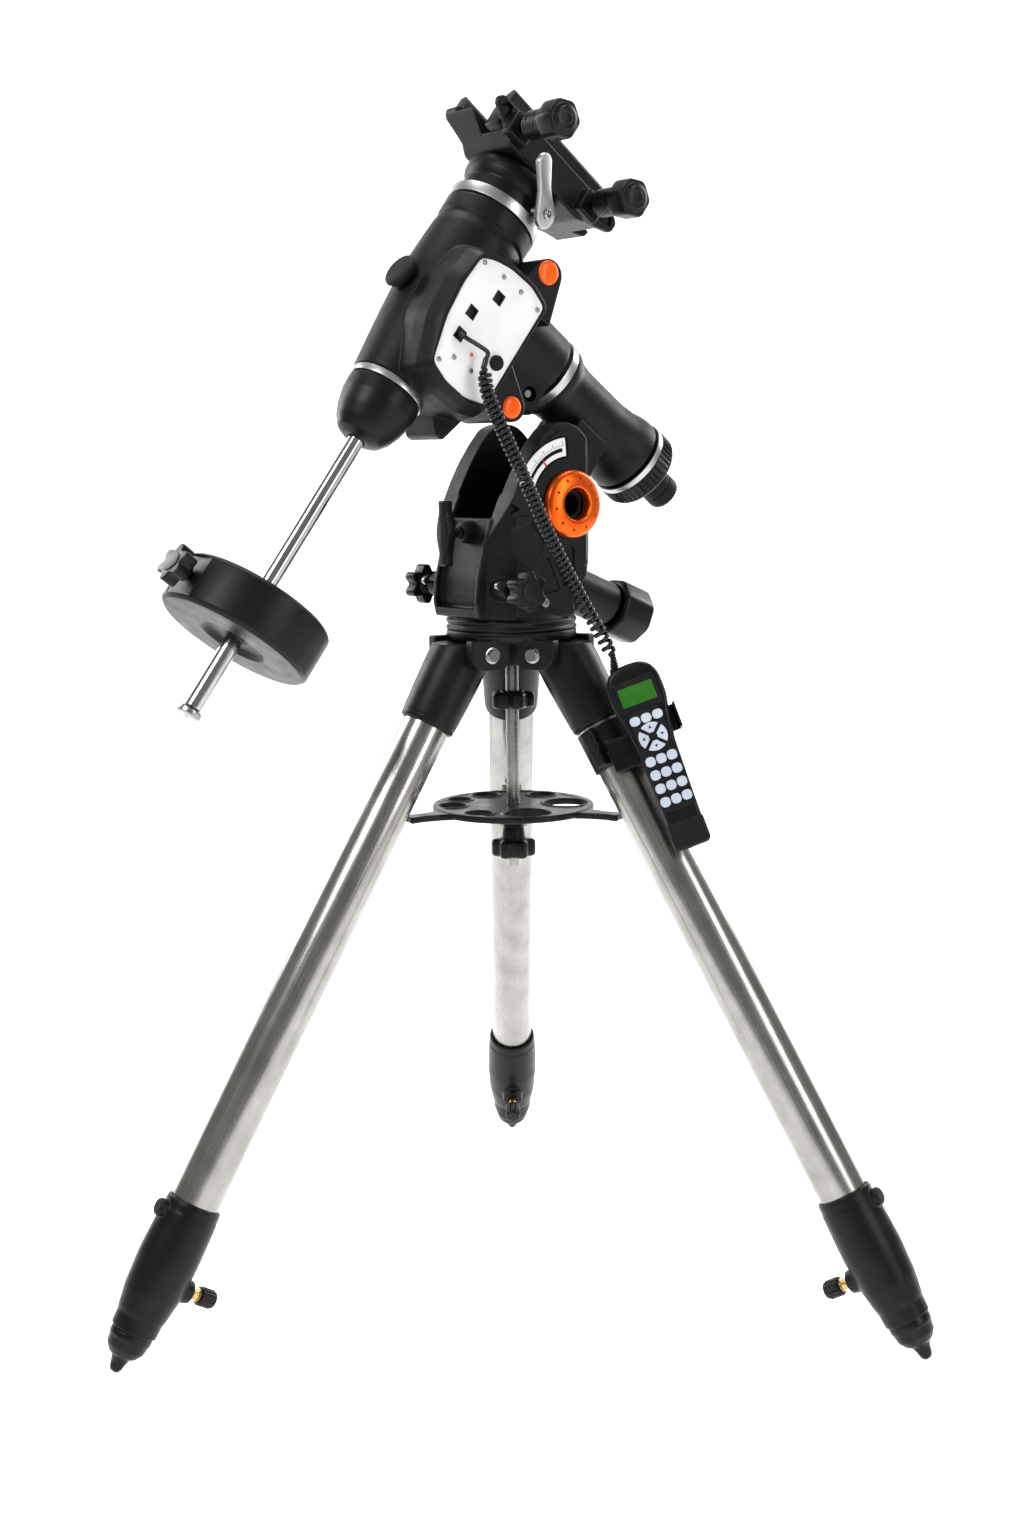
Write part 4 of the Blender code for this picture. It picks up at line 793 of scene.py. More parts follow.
# ---------------------------------------------------------------- latitude fork
INNER, OUTER = 0.0385, 0.0640
AXLE_TURN = facing((1, 0, 0), (0, 1, 0))
REAR_TILT = math.radians(22.0)
REAR_AT = Vector((0.0, 0.120, 0.7525))
BOLT_HEIGHT = 0.833
SCREW_AT = (0, -0.050, 0.775)
WAIST_RADIUS, WAIST_AT = 0.0790, (0, 0.006, 0)
ARM = [
    (0.040, 0.744), (0.034, 0.760), (0.050, 0.780), (0.066, 0.806), (0.0725, 0.832),
    (0.0725, 0.880), (0.0670, 0.908), (0.0560, 0.930), (0.0400, 0.944), (0.0220, 0.9475),
    (0.006, 0.942), (-0.010, 0.925), (-0.026, 0.900), (-0.042, 0.870), (-0.058, 0.835),
    (-0.070, 0.800), (-0.073, 0.770), (-0.070, 0.744),
]
WEB = [
    (-0.071, 0.744), (-0.0745, 0.760), (-0.072, 0.785), (-0.0560, 0.846), (-0.044, 0.849),
    (-0.042, 0.838), (-0.054, 0.786), (-0.055, 0.744),
]
# sunk facets of an arm's outer side: outline and depth
FACETS = [
    ([(-0.0375, 0.8800), (-0.0200, 0.8510), (-0.0440, 0.8490), (-0.0490, 0.8590)], 0.0018),
    ([(-0.0510, 0.8350), (-0.0190, 0.8445), (-0.0020, 0.8209), (-0.0200, 0.7935), (-0.0570, 0.8120),
      (-0.0550, 0.8260)], 0.0034),
    ([(0.0190, 0.8210), (0.0360, 0.8170), (0.0380, 0.7850), (0.0206, 0.7760), (0.0140, 0.8020)], 0.0034),
    ([(0.0015, 0.8090), (0.0180, 0.7720), (-0.0035, 0.7680), (-0.0112, 0.7890)], 0.0034),
    ([(-0.0270, 0.9130), (-0.0111, 0.9305), (0.0090, 0.9390), (0.0192, 0.9375), (0.0100, 0.9330),
      (-0.0073, 0.9235), (-0.0230, 0.9050)], 0.0022),
    ([(0.0660, 0.8290), (0.0610, 0.8180), (0.0500, 0.7960), (0.0520, 0.7960), (0.0640, 0.8130)], 0.0030),
]
POCKET = [(-0.0455, 0.8635), (-0.0325, 0.8579), (-0.0450, 0.8525)]
SLOT = [(-0.0640, 0.7985), (-0.0625, 0.8000), (-0.0440, 0.7870), (-0.0455, 0.7850)]


def scale_outline(inner, outer, low=94, high=162, count=28):
    return arc((0, 0), outer, low, high, count) + arc((0, 0), inner, high, low, count)


def make_fork():
    adds = [lathe([(0.030, HEAD_TOP + GAP), (0.030, 0.7505), (0.0625, 0.7505), (0.0650, 0.7460),
                   (0.0662, 0.7440), (0.0675, 0.7425), (0.0700, 0.7410), (0.0705, 0.7385),
                   (0.0690, 0.7365), (0.0680, 0.7350), (0.0690, 0.7338), (0.0705, 0.7325),
                   (0.0705, HEAD_TOP + GAP)], 0.0006, 96, True, 2)]
    rear = facing((0, math.cos(REAR_TILT), -math.sin(REAR_TILT)), (1, 0, 0))
    for sign in (1, -1):
        near, far = sorted((sign * (INNER - 0.004), sign * OUTER))
        arm = soft(slab(eased(ARM, 0.010, 4, True), near, far), 0.0030, 3)
        waist = moved(rod(WAIST_RADIUS, 0.70, 1.00, 120), WAIST_AT)
        adds.append(carved(moved(arm, rotation=SIDE), "INTERSECT", waist))
    web = soft(slab(eased(WEB, 0.003, 3, True), -0.0403, 0.0403), 0.002, 2)
    adds.append(moved(web, rotation=SIDE))
    adds.append(soft(block((-0.0455, 0.031, 0.7455), (0.0455, 0.0575, 0.7725)), 0.003))
    adds.append(moved(lathe([(0, 0.0138), (0.0235, 0.0138), (0.0250, 0.012), (0.0250, -0.076),
                             (0, -0.076)], 0.001, 72), REAR_AT, rear))
    cuts = []
    for sign in (1, -1):
        way = facing((sign, 0, 0))
        screw_boss = lathe([(0, 0.0450), (0.0120, 0.0450), (0.0120, 0.070), (0, 0.070)], 0.001, 48)
        adds.append(moved(screw_boss, SCREW_AT, way))
        adds.append(moved(rod(0.0388, 0.0430, OUTER + 0.0002, 96), AXLE_AT,
                          facing((sign, 0, 0), (0, 1, 0))))
        post = lathe([(0, 0.0400), (0.0062, 0.0400), (0.0062, 0.0668), (0, 0.0668)], 0.0008, 36)
        adds.append(moved(post, (0, -0.0060, 0.7600), way))
        sunk = [(eased(outline, 0.0022, 4, True), depth) for outline, depth in FACETS]
        sunk += [(eased(POCKET, 0.0014, 3, True), 0.0075), (SLOT, 0.0050)]
        for outline, depth in sunk:
            near, far = sorted((sign * (OUTER - depth), sign * 0.09))
            cuts.append(moved(slab(outline, near, far), rotation=SIDE))
    # the web is sunk between the arms' front rims
    front = eased([(-0.100, 0.7540), (-0.100, 0.870), (-0.0480, 0.870), (-0.0500, 0.846),
                   (-0.0655, 0.785), (-0.0672, 0.7640), (-0.0640, 0.7540)], 0.004, 4, True)
    cuts += [moved(soft(slab(front, -0.0350, 0.0350), 0.004, 3), rotation=SIDE),
             block((-INNER, -0.0600, 0.7515), (INNER, 0.0295, 0.80)),
             block((-0.020, -0.064, 0.72), (0.020, -0.036, 0.76)),
             block((-INNER, -0.040, 0.779), (INNER, 0.080, 0.96)),
             moved(rod(0.0100, -0.10, 0.0165, 40), REAR_AT, rear),
             moved(rod(0.0062, 0.0, 0.12, 32), (0, 0, BOLT_HEIGHT), facing((0, -1, 0))),
             moved(rod(0.0056, -0.10, 0.10, 32), SCREW_AT, facing((1, 0, 0))),
             moved(rod(0.0124, -0.10, 0.10, 48), AXLE_AT, facing((1, 0, 0))),
             moved(slab(scale_outline(0.0478, 0.0712, 92, 164), OUTER - 0.0025, 0.10), AXLE_AT, SIDE)]
    piece("fork_casting", YOKE, adds, "cast", "azimuth", ["azimuth_fork"], cuts=cuts,
          voxel=0.0009, smooth=3, keep=150000)
    hollows = [rod(0.0104, -0.08, -0.040, 48), rod(0.0104, 0.040, 0.08, 48)]
    boss = lathe([(0.0062, 0.0485), (0.0125, 0.0485), (0.0112, 0.0600), (0.0105, 0.0652),
                  (0.0062, 0.0655)], 0.001, 48, True)
    piece("bolt_boss", put(YOKE, (0, 0, BOLT_HEIGHT), facing((0, -1, 0))), boss, "cast", "azimuth")
    # painted shade: the axle pin takes the near-black finish as shade inside its bore
    piece("axle_pin", put(YOKE, AXLE_AT, AXLE_TURN), rod(0.0120, -0.0645, 0.0645, 60, 0.001), "dark",
          "azimuth", ["altitude_axle"], cuts=hollows)
    # latitude scale with its slot, marks and pointer
    plate = slab(eased(scale_outline(0.0500, 0.0690, 95, 161), 0.0045, 5, True), 0, 0.0016)
    groove = slab(eased(scale_outline(0.0548, 0.0590, 99, 157, 24), 0.0012, 3, True), -0.001, 0.004)
    scale = put(YOKE, AXLE_AT + Vector((OUTER - 0.0020, 0, 0)), SIDE)
    piece("latitude_plate", scale, soft(plate, 0.0003, 2), "panel", "azimuth", ["latitude_scale"],
          cuts=groove)
    # painted shade: a near-black sheet behind the scale's slot, where there is only shade
    piece("latitude_slot", scale, slab(scale_outline(0.0542, 0.0596, 98, 158, 24), -0.0004, 0.0006),
          "dark", "azimuth")
    marks = []
    for k in range(25):
        reach = 0.0625 if k % 5 else 0.0655
        marks.append(moved(block((0.0602, -0.00030, 0.0014), (reach, 0.00030, 0.00175)),
                           rotation=Matrix.Rotation(math.radians(98 + k * 2.5), 3, "Z")))
    piece("latitude_marks", scale, merged(marks), "print", "azimuth")
    pointer = moved(slab([(0.0500, -0.0012), (0.0560, -0.0004), (0.0590, 0.0), (0.0560, 0.0004),
                          (0.0500, 0.0012)], 0.0016, 0.0024),
                    rotation=Matrix.Rotation(math.radians(128), 3, "Z"))
    piece("latitude_pointer", scale, pointer, "red", "azimuth")
    for side, sign in (("right", 1), ("left", -1)):
        cap = lathe([(0.0350, 0.0650), (0.0358, 0.0672), (0.0350, 0.0718), (0.0322, 0.0742),
                     (0.0262, 0.0762), (0.0205, 0.0773), (0.0176, 0.0770), (0.0166, 0.0752),
                     (0.0165, 0.0650)], 0.0016, 120, True, 4)
        dents = []
        for k in range(10):
            angle = 2 * math.pi * (k + 0.25) / 10
            at = (0.0272 * math.cos(angle), 0.0272 * math.sin(angle), 0.0762)
            dents.append(moved(rod(0.0017, -0.0020, 0.004, 20), at))
        piece("altitude_ring_" + side, put(YOKE, AXLE_AT, facing((sign, 0, 0), (0, 1, 0))), cap,
              "orange", "azimuth", ["altitude_cap_" + side], cuts=dents)
        knob = soft(slab(star(0.0215, 0.0065, 6), 0.0850, 0.1010), 0.0038, 4)
        stem = lathe([(0, 0.1020), (0.0105, 0.1020), (0.0115, 0.0860), (0.0095, 0.0840),
                      (0.0095, 0.0800), (0.0050, 0.0790), (0.0050, 0.0078), (0, 0.0078)], 0.0008, 40)
        piece("azimuth_star_" + side, put(YOKE, SCREW_AT, facing((sign, 0, 0))),
              [knob, stem], "plastic", "azimuth_knob_" + side, ["azimuth_knob_" + side])
        for name, place, radius, height in (
                ("fork_screw_", (sign * 0.0640, -0.0655, 0.7800), 0.0042, 0.0045),
                ("fork_post_screw_", (sign * 0.0668, -0.0060, 0.7600), 0.0048, 0.0022)):
            bolt_head(name + side, YOKE, place, (sign, 0, 0), radius, height, "azimuth", "steel", True)
    # T-handled bolt: its grip swells at the middle and flares at both ends
    grip = [(-0.0340, -0.0045), (-0.0325, -0.0062), (-0.0250, -0.0056), (-0.0190, -0.0060),
            (-0.0110, -0.0088), (0.0, -0.0107), (0.0110, -0.0088), (0.0190, -0.0060),
            (0.0250, -0.0056), (0.0325, -0.0062), (0.0340, -0.0045)]
    outline = eased(grip + [(x, -y) for x, y in reversed(grip)], 0.0035, 4, True)
    handle = soft(slab(outline, 0.0790, 0.0900), 0.0028, 4)
    turn = facing((0, -1, 0), (0, 0, 1))
    bolt = put(YOKE, (0, 0, BOLT_HEIGHT), turn)
    piece("altitude_bolt_grip", bolt, handle, "plastic", "altitude_bolt", ["front_altitude_bolt"])
    shank = lathe([(0, 0.0820), (0.0085, 0.0820), (0.0085, 0.0770), (0.0078, 0.0755), (0.0055, 0.0750),
                   (0.0055, -0.0178), (0.0030, -0.0193), (0.0030, -0.0208), (0, -0.0208)], 0.0006, 40)
    piece("altitude_bolt_shank", bolt, shank, "chrome", "altitude_bolt")
    # rear octagonal knob: a cup that runs over the tube
    out = put(YOKE, REAR_AT, rear)
    octagon = soft(slab(eased(arc((0, 0), 0.0335, 22.5, 337.5, 8), 0.006, 4, True), 0.0160, 0.0600),
                   0.005, 5, 50)
    cup = rod(0.0258, 0.0, 0.0520, 72)
    piece("rear_knob_cup", out, octagon, "plastic", "altitude_knob", ["rear_altitude_knob"],
          cuts=cup)
    reach = ((AXLE_AT.y - REAR_AT.y) * math.cos(REAR_TILT)
             - (AXLE_AT.z - 0.0660 - REAR_AT.z) * math.sin(REAR_TILT) + 0.0099)
    piece("rear_knob_screw", out, rod(0.0080, reach, 0.0540, 36, 0.001), "steel", "altitude_knob")


make_fork()

# ---------------------------------------------------------------- RA axis
PANEL = [
    (0.0020, 0.2450), (-0.0300, 0.2475), (-0.0700, 0.2440), (-0.1150, 0.2320),
    (-0.1215, 0.2080), (-0.1205, 0.1800), (-0.1110, 0.1570),
    (0.0120, 0.1560), (0.0185, 0.1800), (0.0165, 0.2100), (0.0105, 0.2300),
]
LIP = [
    (-0.1080, 0.1860), (-0.1325, 0.1860), (-0.1340, 0.1740), (-0.1500, 0.1590),
    (-0.1490, 0.1500), (-0.1150, 0.1410), (-0.0950, 0.1640),
]
PANEL_FACE = 0.0800


def section(outline, height):
    return [(height, across, along) for across, along in outline]


def grown(outline, amount):
    middle = sum((Vector(point) for point in outline), Vector((0, 0))) / len(outline)
    return [tuple(Vector(point) + (Vector(point) - middle).normalized() * amount)
            for point in outline]


def ear_outline(across, along, radius, one, two):
    centre = Vector((across, along))
    first, second = Vector(one), Vector(two)
    a1, a2 = (first - centre).normalized(), (second - centre).normalized()
    start = math.degrees(math.atan2(a1.y, a1.x))
    end = math.degrees(math.atan2(a2.y, a2.x))
    if end < start:
        end += 360.0
    middle = math.radians((start + end) / 2)
    if ((a1 + a2) / 2).dot(Vector((math.cos(middle), math.sin(middle)))) > 0:
        start, end = end, start + 360.0
        first, second = second, first
    return arc(centre, radius, start + 70, end - 70, 24) + [tuple(second), tuple(first)]


def lever(length, root, tip):
    outline = arc((0, 0), root, 100, 260, 20) + [(length * 0.5, -tip * 0.82)]
    outline += arc((length, 0), tip, -80, 80, 16) + [(length * 0.5, tip * 0.82)]
    return outline


def make_ra():
    housing = turned(eased([
        (0.0425, 0.0630), (0.0425, 0.0560), (0.0380, 0.0480), (0.0360, 0.0320),
        (0.0365, -0.0250), (0.0390, -0.0450), (0.0435, -0.0600), (0.0440, -0.0745),
        (0.0235, -0.0745), (0.0235, 0.0630),
    ], 0.006, 5, True), 96)
    lug_outline = (arc((0, 0), 0.0225, 200, 340, 24)
                   + [(0.0250, 0.050), (0.0240, 0.096), (-0.0240, 0.096), (-0.0250, 0.050)])
    lug = soft(slab([(-x, y) for x, y in lug_outline], -0.0360, 0.0360), 0.004, 3)
    upright = Matrix.Rotation(LATITUDE - math.pi / 2, 3, "X")
    below = Vector((0, -AXLE_TO_RA, 0))
    tongue = soft(block((-0.0140, -0.0020, -0.0660), (0.0140, 0.0060, -0.0100)), 0.0015)
    adds = [housing, moved(lug, below, columns(-Z, Y, X)), moved(tongue, below, upright)]
    for down in (0.0287, 0.0660):
        adds.append(moved(rod(0.0095, -0.0150, 0.0150, 48), below + upright @ Vector((0, 0, -down)),
                          facing((1, 0, 0))))
    bores = [rod(0.0235, -0.10, 0.10, 72), moved(rod(0.0124, -0.08, 0.08, 48), below, facing((1, 0, 0)))]
    piece("ra_casting", RA, adds, "cast", "altitude", ["ra_housing"], cuts=bores, voxel=0.0009,
          keep=120000)
    ribbed = []
    for k in range(96):
        reach, angle = 0.0450 + (0.0007 if k % 2 else -0.0007), 2 * math.pi * k / 96
        ribbed.append((reach * math.cos(angle), reach * math.sin(angle)))
    cover = lathe([
        (0, -0.0840), (0.0230, -0.0840), (0.0230, -0.0757), (0.0440, -0.0757), (0.0440, -0.0830),
        (0.0432, -0.0835), (0.0432, -0.1005), (0.0440, -0.1020), (0.0425, -0.1048), (0.0390, -0.1068),
        (0.0280, -0.1090), (0.0160, -0.1100), (0, -0.1100)], 0.0012, 120)
    piece("ra_cover_shell", RA, [cover, slab(ribbed, -0.1000, -0.0835)], "plastic", "altitude",
          ["ra_rear_cover"])
    piece("ra_rear_ring", RA, pipe(0.0452, 0.0438, -0.0828, -0.0762, 120, 0.0005), "ring", "altitude")
    cap = lathe([(0, -0.1106), (0.0178, -0.1106), (0.0178, -0.1180), (0.0190, -0.1190),
                 (0.0190, -0.1290), (0.0182, -0.1300), (0.0182, -0.1310), (0.0190, -0.1320),
                 (0.0190, -0.1430), (0.0176, -0.1468), (0.0120, -0.1468), (0.0100, -0.1450),
                 (0, -0.1450)], 0.001, 80)
    piece("polar_cap", RA, cap, "rubber", "altitude", ["polar_scope_cap"])
    arm = soft(slab(lever(0.044, 0.0085, 0.0050), 0.0, 0.0060), 0.0017, 3)
    at = put(RA, (-0.0440, 0, 0.0350), facing((-1, 0, 0), (0, -0.5, -1)))
    hub = lathe([(0, 0.0074), (0.0058, 0.0074), (0.0066, 0.0055), (0.0066, 0.0), (0.0050, 0.0),
                 (0.0050, -0.0050), (0, -0.0050)], 0.0006, 40)
    piece("ra_lever_arm", at, [arm, hub], "lever", "ra_clutch", ["ra_clutch_lever"])
    # a degree ring below the DEC housing, with cut marks
    ring = lathe([(0.0435, 0.0726), (0.0435, 0.0634), (0.0260, 0.0634), (0.0260, 0.0726)],
                 0.0006, 144, True)
    marks = []
    for k in range(72):
        tall = 0.0016 if k % 6 else 0.0030
        marks.append(moved(block((0.04325, -0.00020, 0.0636), (0.045, 0.00020, 0.0636 + tall)),
                           rotation=Matrix.Rotation(2 * math.pi * k / 72, 3, "Z")))
    piece("ra_degree_ring", RA, ring, "ring", "ra", ["ra_setting_circle"], cuts=merged(marks))


def oblong(x, y, half_width, half_height):
    return [(x + across * half_width, y + up * half_height)
            for across, up in ((-1, -1), (1, -1), (1, 1), (-1, 1))]


def make_dec_housing():
    drum = turned(eased([
        (0, 0.0787), (0.0490, 0.0787), (0.0500, 0.0767), (0.0500, 0.0580), (0.0480, 0.0560),
        (0.0500, 0.0450), (0.0515, 0.0100), (0.0518, -0.0100), (0.0508, -0.0350),
        (0.0480, -0.0690), (0.0450, -0.1000), (0.0415, -0.1330), (0, -0.1330),
    ], 0.0012, 3), 120)
    to_ra = columns(X, -Z, Y)
    adds = [moved(drum, (0, 0, RA_TO_DEC), to_ra)]
    fine = eased(PANEL, 0.006, 5, True)
    adds.append(lofted([
        section(grown(fine, -0.004), -0.030), section(grown(fine, 0.0140), 0.010),
        section(grown(fine, 0.016), 0.020), section(grown(fine, 0.0152), 0.045),
        section(grown(fine, 0.013), 0.062), section(grown(fine, 0.0085), 0.0740),
        section(grown(fine, 0.0050), 0.0800), section(grown(fine, 0.0036), 0.0812),
    ]))
    adds.append(turned([(0, 0.1700), (0.0435, 0.1700), (0.0435, 0.0800), (0.0420, 0.0760), (0, 0.0760)], 96))
    for across, along, radius, low, top, one, two in (
            (0.0460, 0.1660, 0.0170, -0.0105, 0.0740, (0.0000, 0.1900), (0.0050, 0.1350)),
            (-0.0860, 0.1220, 0.0155, -0.0130, 0.0700, (-0.0900, 0.1750), (-0.0450, 0.1600))):
        outline = ear_outline(across, along, radius, one, two)
        adds.append(soft(lofted([section(outline, low), section(outline, top)]), 0.0025, 4))
    adds.append(soft(block((-0.034, -0.062, 0.0765), (0.034, -0.020, 0.150)), 0.003))
    lip = eased(LIP, 0.003, 4, True)
    adds.append(soft(lofted([section(lip, -0.0275), section(lip, 0.0300)]), 0.002, 3))
    cuts = [
        moved(turned([(0, 0.10), (0.0395, 0.10), (0.0395, 0.0300), (0.0250, 0.0300),
                      (0.0250, -0.16), (0, -0.16)], 72), (0, 0, RA_TO_DEC), to_ra),
        turned([(0, 0.173), (0.0230, 0.173), (0.0230, 0.1020), (0.0385, 0.1020),
                (0.0385, 0.06), (0, 0.06)], 72),
        moved(rod(0.0080, -0.030, 0.080, 36), (0, 0.0470, 0.1730), facing((1, 0, 0))),
        moved(rod(0.0080, -0.030, 0.080, 36), (0, -0.0445, 0.0920), facing((1, 0, 0))),
        lofted([section(grown(fine, 0.0006), PANEL_FACE - 0.0026), section(grown(fine, 0.0006), 0.10)]),
    ]
    piece("dec_casting", RA, adds, "cast", "ra", ["dec_housing"], cuts=cuts,
          voxel=0.0010, smooth=4, keep=150000)
    # the white panel with its screws, sockets, lamp and power cap
    facing_out = columns(Y, Z, X)
    plate = soft(slab(fine, 0, 0.0024), 0.0005, 2)
    face = put(RA, (PANEL_FACE - 0.0025, 0, 0), facing_out)
    ports = [(-0.0747, 0.2220), (-0.0485, 0.2232), (-0.0165, 0.2056)]
    lamp_at = (-0.0820, 0.1990, 0)
    windows = [slab(oblong(x, y, 0.0062, 0.0056), -0.01, 0.01) for x, y in ports]
    windows.append(moved(rod(0.0023, -0.01, 0.01, 32), lamp_at))
    piece("panel_plate", face, plate, "panel", "ra", ["control_panel"], cuts=windows)
    for k, (x, y) in enumerate(ports):
        socket = soft(slab(oblong(x, y, 0.0064, 0.0058), -0.001, 0.0029), 0.0004, 2)
        mouth = [slab([(x - 0.0048, y - 0.0036), (x + 0.0048, y - 0.0036), (x + 0.0048, y + 0.0022),
                       (x + 0.0022, y + 0.0022), (x + 0.0022, y + 0.0040), (x - 0.0022, y + 0.0040),
                       (x - 0.0022, y + 0.0022), (x - 0.0048, y + 0.0022)], 0.0004, 0.010)]
        piece("port_" + str(k + 1), face, socket, "plastic", "ra", cuts=mouth)
    plug_x, plug_y = ports[0]
    plug = soft(slab([(plug_x - 0.0046, plug_y - 0.0034), (plug_x + 0.0046, plug_y - 0.0034),
                      (plug_x + 0.0046, plug_y + 0.0020), (plug_x - 0.0046, plug_y + 0.0020)],
                     0.0012, 0.0052), 0.0006, 2)
    boot = moved(lathe([(0, 0.0105), (0.0026, 0.0105), (0.0031, 0.0070), (0.0040, 0.0048), (0, 0.0048)],
                       0.0004, 32), (plug_x, plug_y, 0))
    piece("lead_plug", face, [plug, boot], "plastic", "ra")
    piece("panel_lamp", face, moved(lathe([(0, 0.0036), (0.0013, 0.0033), (0.0021, 0.0022),
                                           (0.0021, 0.0), (0, 0.0)], 0.0004, 32), lamp_at),
          "orange_cap", "ra")
    cap = lathe([(0, 0.0072), (0.0064, 0.0072), (0.0076, 0.0058), (0.0080, 0.0024), (0, 0.0024)], 0.0012, 48)
    piece("power_cap", face, moved(cap, (-0.0700, 0.1710, 0)), "rubber", "ra")
    screws = [(0.0002, 0.2395), (0.0040, 0.2131), (0.0059, 0.1880), (0.0050, 0.1615),
              (-0.1100, 0.2275), (-0.0971, 0.2146), (-0.0952, 0.1904), (-0.1062, 0.1615)]
    for k, (x, y) in enumerate(screws):
        head = lathe([(0, 0.0042), (0.0016, 0.0041), (0.0026, 0.0034), (0.0029, 0.0024), (0, 0.0024)],
                     0.0005, 32)
        cross = [moved(block((-0.0017, -0.00035, 0.0036), (0.0017, 0.00035, 0.006)),
                       rotation=Matrix.Rotation(math.radians(turn + 17 * k), 3, "Z"))
                 for turn in (0, 90)]
        piece("panel_screw_" + str(k + 1), put(face, (x, y, 0)), head, "steel", "ra", cuts=cross)
    for k, (across, along, radius, out) in enumerate(((0.0470, 0.1690, 0.0125, 0.0738),
                                                      (-0.0880, 0.1235, 0.0115, 0.0698))):
        lens = lathe([(0, 0.0034), (radius * 0.55, 0.0031), (radius * 0.86, 0.0021), (radius, 0.0006),
                      (radius, -0.0020), (0, -0.0020)], 0.0012, 64)
        piece("worm_cap_" + str(k + 1), put(RA, (out, across, along), facing_out), lens,
              "orange_cap", "ra")
    # the rubber cap over the motor, the nose and its silver ring, the shaft and its end
    turn = facing(X * 0.05 - Y, (0, 0, 1))
    motor = lathe([(0, 0.0625), (0.0080, 0.0625), (0.0150, 0.0620), (0.0182, 0.0604), (0.0190, 0.0570),
                   (0.0168, 0.0560), (0.0165, 0.0522), (0, 0.0522)], 0.0012, 80)
    piece("motor_boot", put(DEC, (0, 0, -0.033), turn), motor, "rubber", "ra", ["motor_cap"])
    nose = lathe([
        (0.0392, -0.1410), (0.0398, -0.1450), (0.0394, -0.1580), (0.0360, -0.1730),
        (0.0310, -0.1860), (0.0240, -0.1955), (0.0150, -0.2000), (0.0094, -0.2005),
        (0.0094, -0.1560), (0.0300, -0.1520), (0.0300, -0.1410),
    ], 0.0022, 120, True, 4)
    piece("dec_nose_casting", DEC, nose, "coat", "ra", ["dec_nose"])
    piece("dec_nose_ring", DEC, pipe(0.0406, 0.0300, -0.1408, -0.1338, 120, 0.0006), "ring", "ra")
    piece("weight_shaft", DEC, lathe([
        (0, -0.1390), (0.0210, -0.1390), (0.0210, -0.1515), (0.0090, -0.1525),
        (0.0090, -0.5190), (0.0082, -0.5200), (0, -0.5200)], 0.0004, 72), "chrome", "ra",
          ["counterweight_shaft"])
    tip = lathe([(0, -0.5204), (0.0095, -0.5204), (0.0125, -0.5222), (0.0125, -0.5275), (0.0100, -0.5290),
                 (0.0040, -0.5290), (0.0030, -0.5283), (0, -0.5283)], 0.0007, 64)
    piece("shaft_end_knurl", DEC, tip, "steel", "ra", ["shaft_end_cap"])


def make_weight():
    top, end = -0.3915, -0.4435
    middle = (top + end) / 2
    body = lathe([
        (0.0770, top), (0.0810, top - 0.0040), (0.0810, end + 0.0040), (0.0770, end), (0.0360, end),
        (0.0300, end + 0.0055), (0.0140, end + 0.0055), (0.0094, end + 0.0080),
        (0.0094, top - 0.0040), (0.0140, top), (0.0300, top), (0.0300, top - 0.0006), (0.0320, top - 0.0006),
        (0.0320, top)], 0.0014, 144, True, 4)
    turn = facing(X * 0.05 - Y, (0, 0, 1))
    flat = moved(block((-0.022, -0.022, 0.0775), (0.022, 0.022, 0.10)), (0, 0, middle), turn)
    bore = moved(rod(0.0054, 0.0, 0.10, 32), (0, 0, middle), turn)
    piece("weight_casting", DEC, body, "coat", "weight", ["counterweight"], cuts=[flat, bore])
    knob = soft(slab(star(0.0205, 0.0062, 6), 0.0860, 0.1010), 0.0038, 4)
    stem = lathe([(0, 0.1020), (0.0105, 0.1020), (0.0110, 0.0870), (0.0090, 0.0850),
                  (0.0090, 0.0805), (0.0050, 0.0795), (0.0050, 0.0100), (0, 0.0100)], 0.0008, 40)
    piece("weight_star", put(DEC, (0, 0, middle), turn), [knob, stem], "plastic", "weight_knob",
          ["counterweight_knob"])


# ---------------------------------------------------------------- saddle
SADDLE_SIDE = [
    (-0.046, 0.1315), (-0.060, 0.1430), (-0.084, 0.1560), (-0.0865, 0.1620), (-0.082, 0.1680),
    (0.098, 0.1680), (0.106, 0.1620), (0.105, 0.1500), (0.062, 0.1315),
]
KNOB_ALONG = {"upper": -0.051, "lower": 0.063}
KNOB_HEIGHT = 0.1500
UPSIDE = columns(X, Z, -Y)


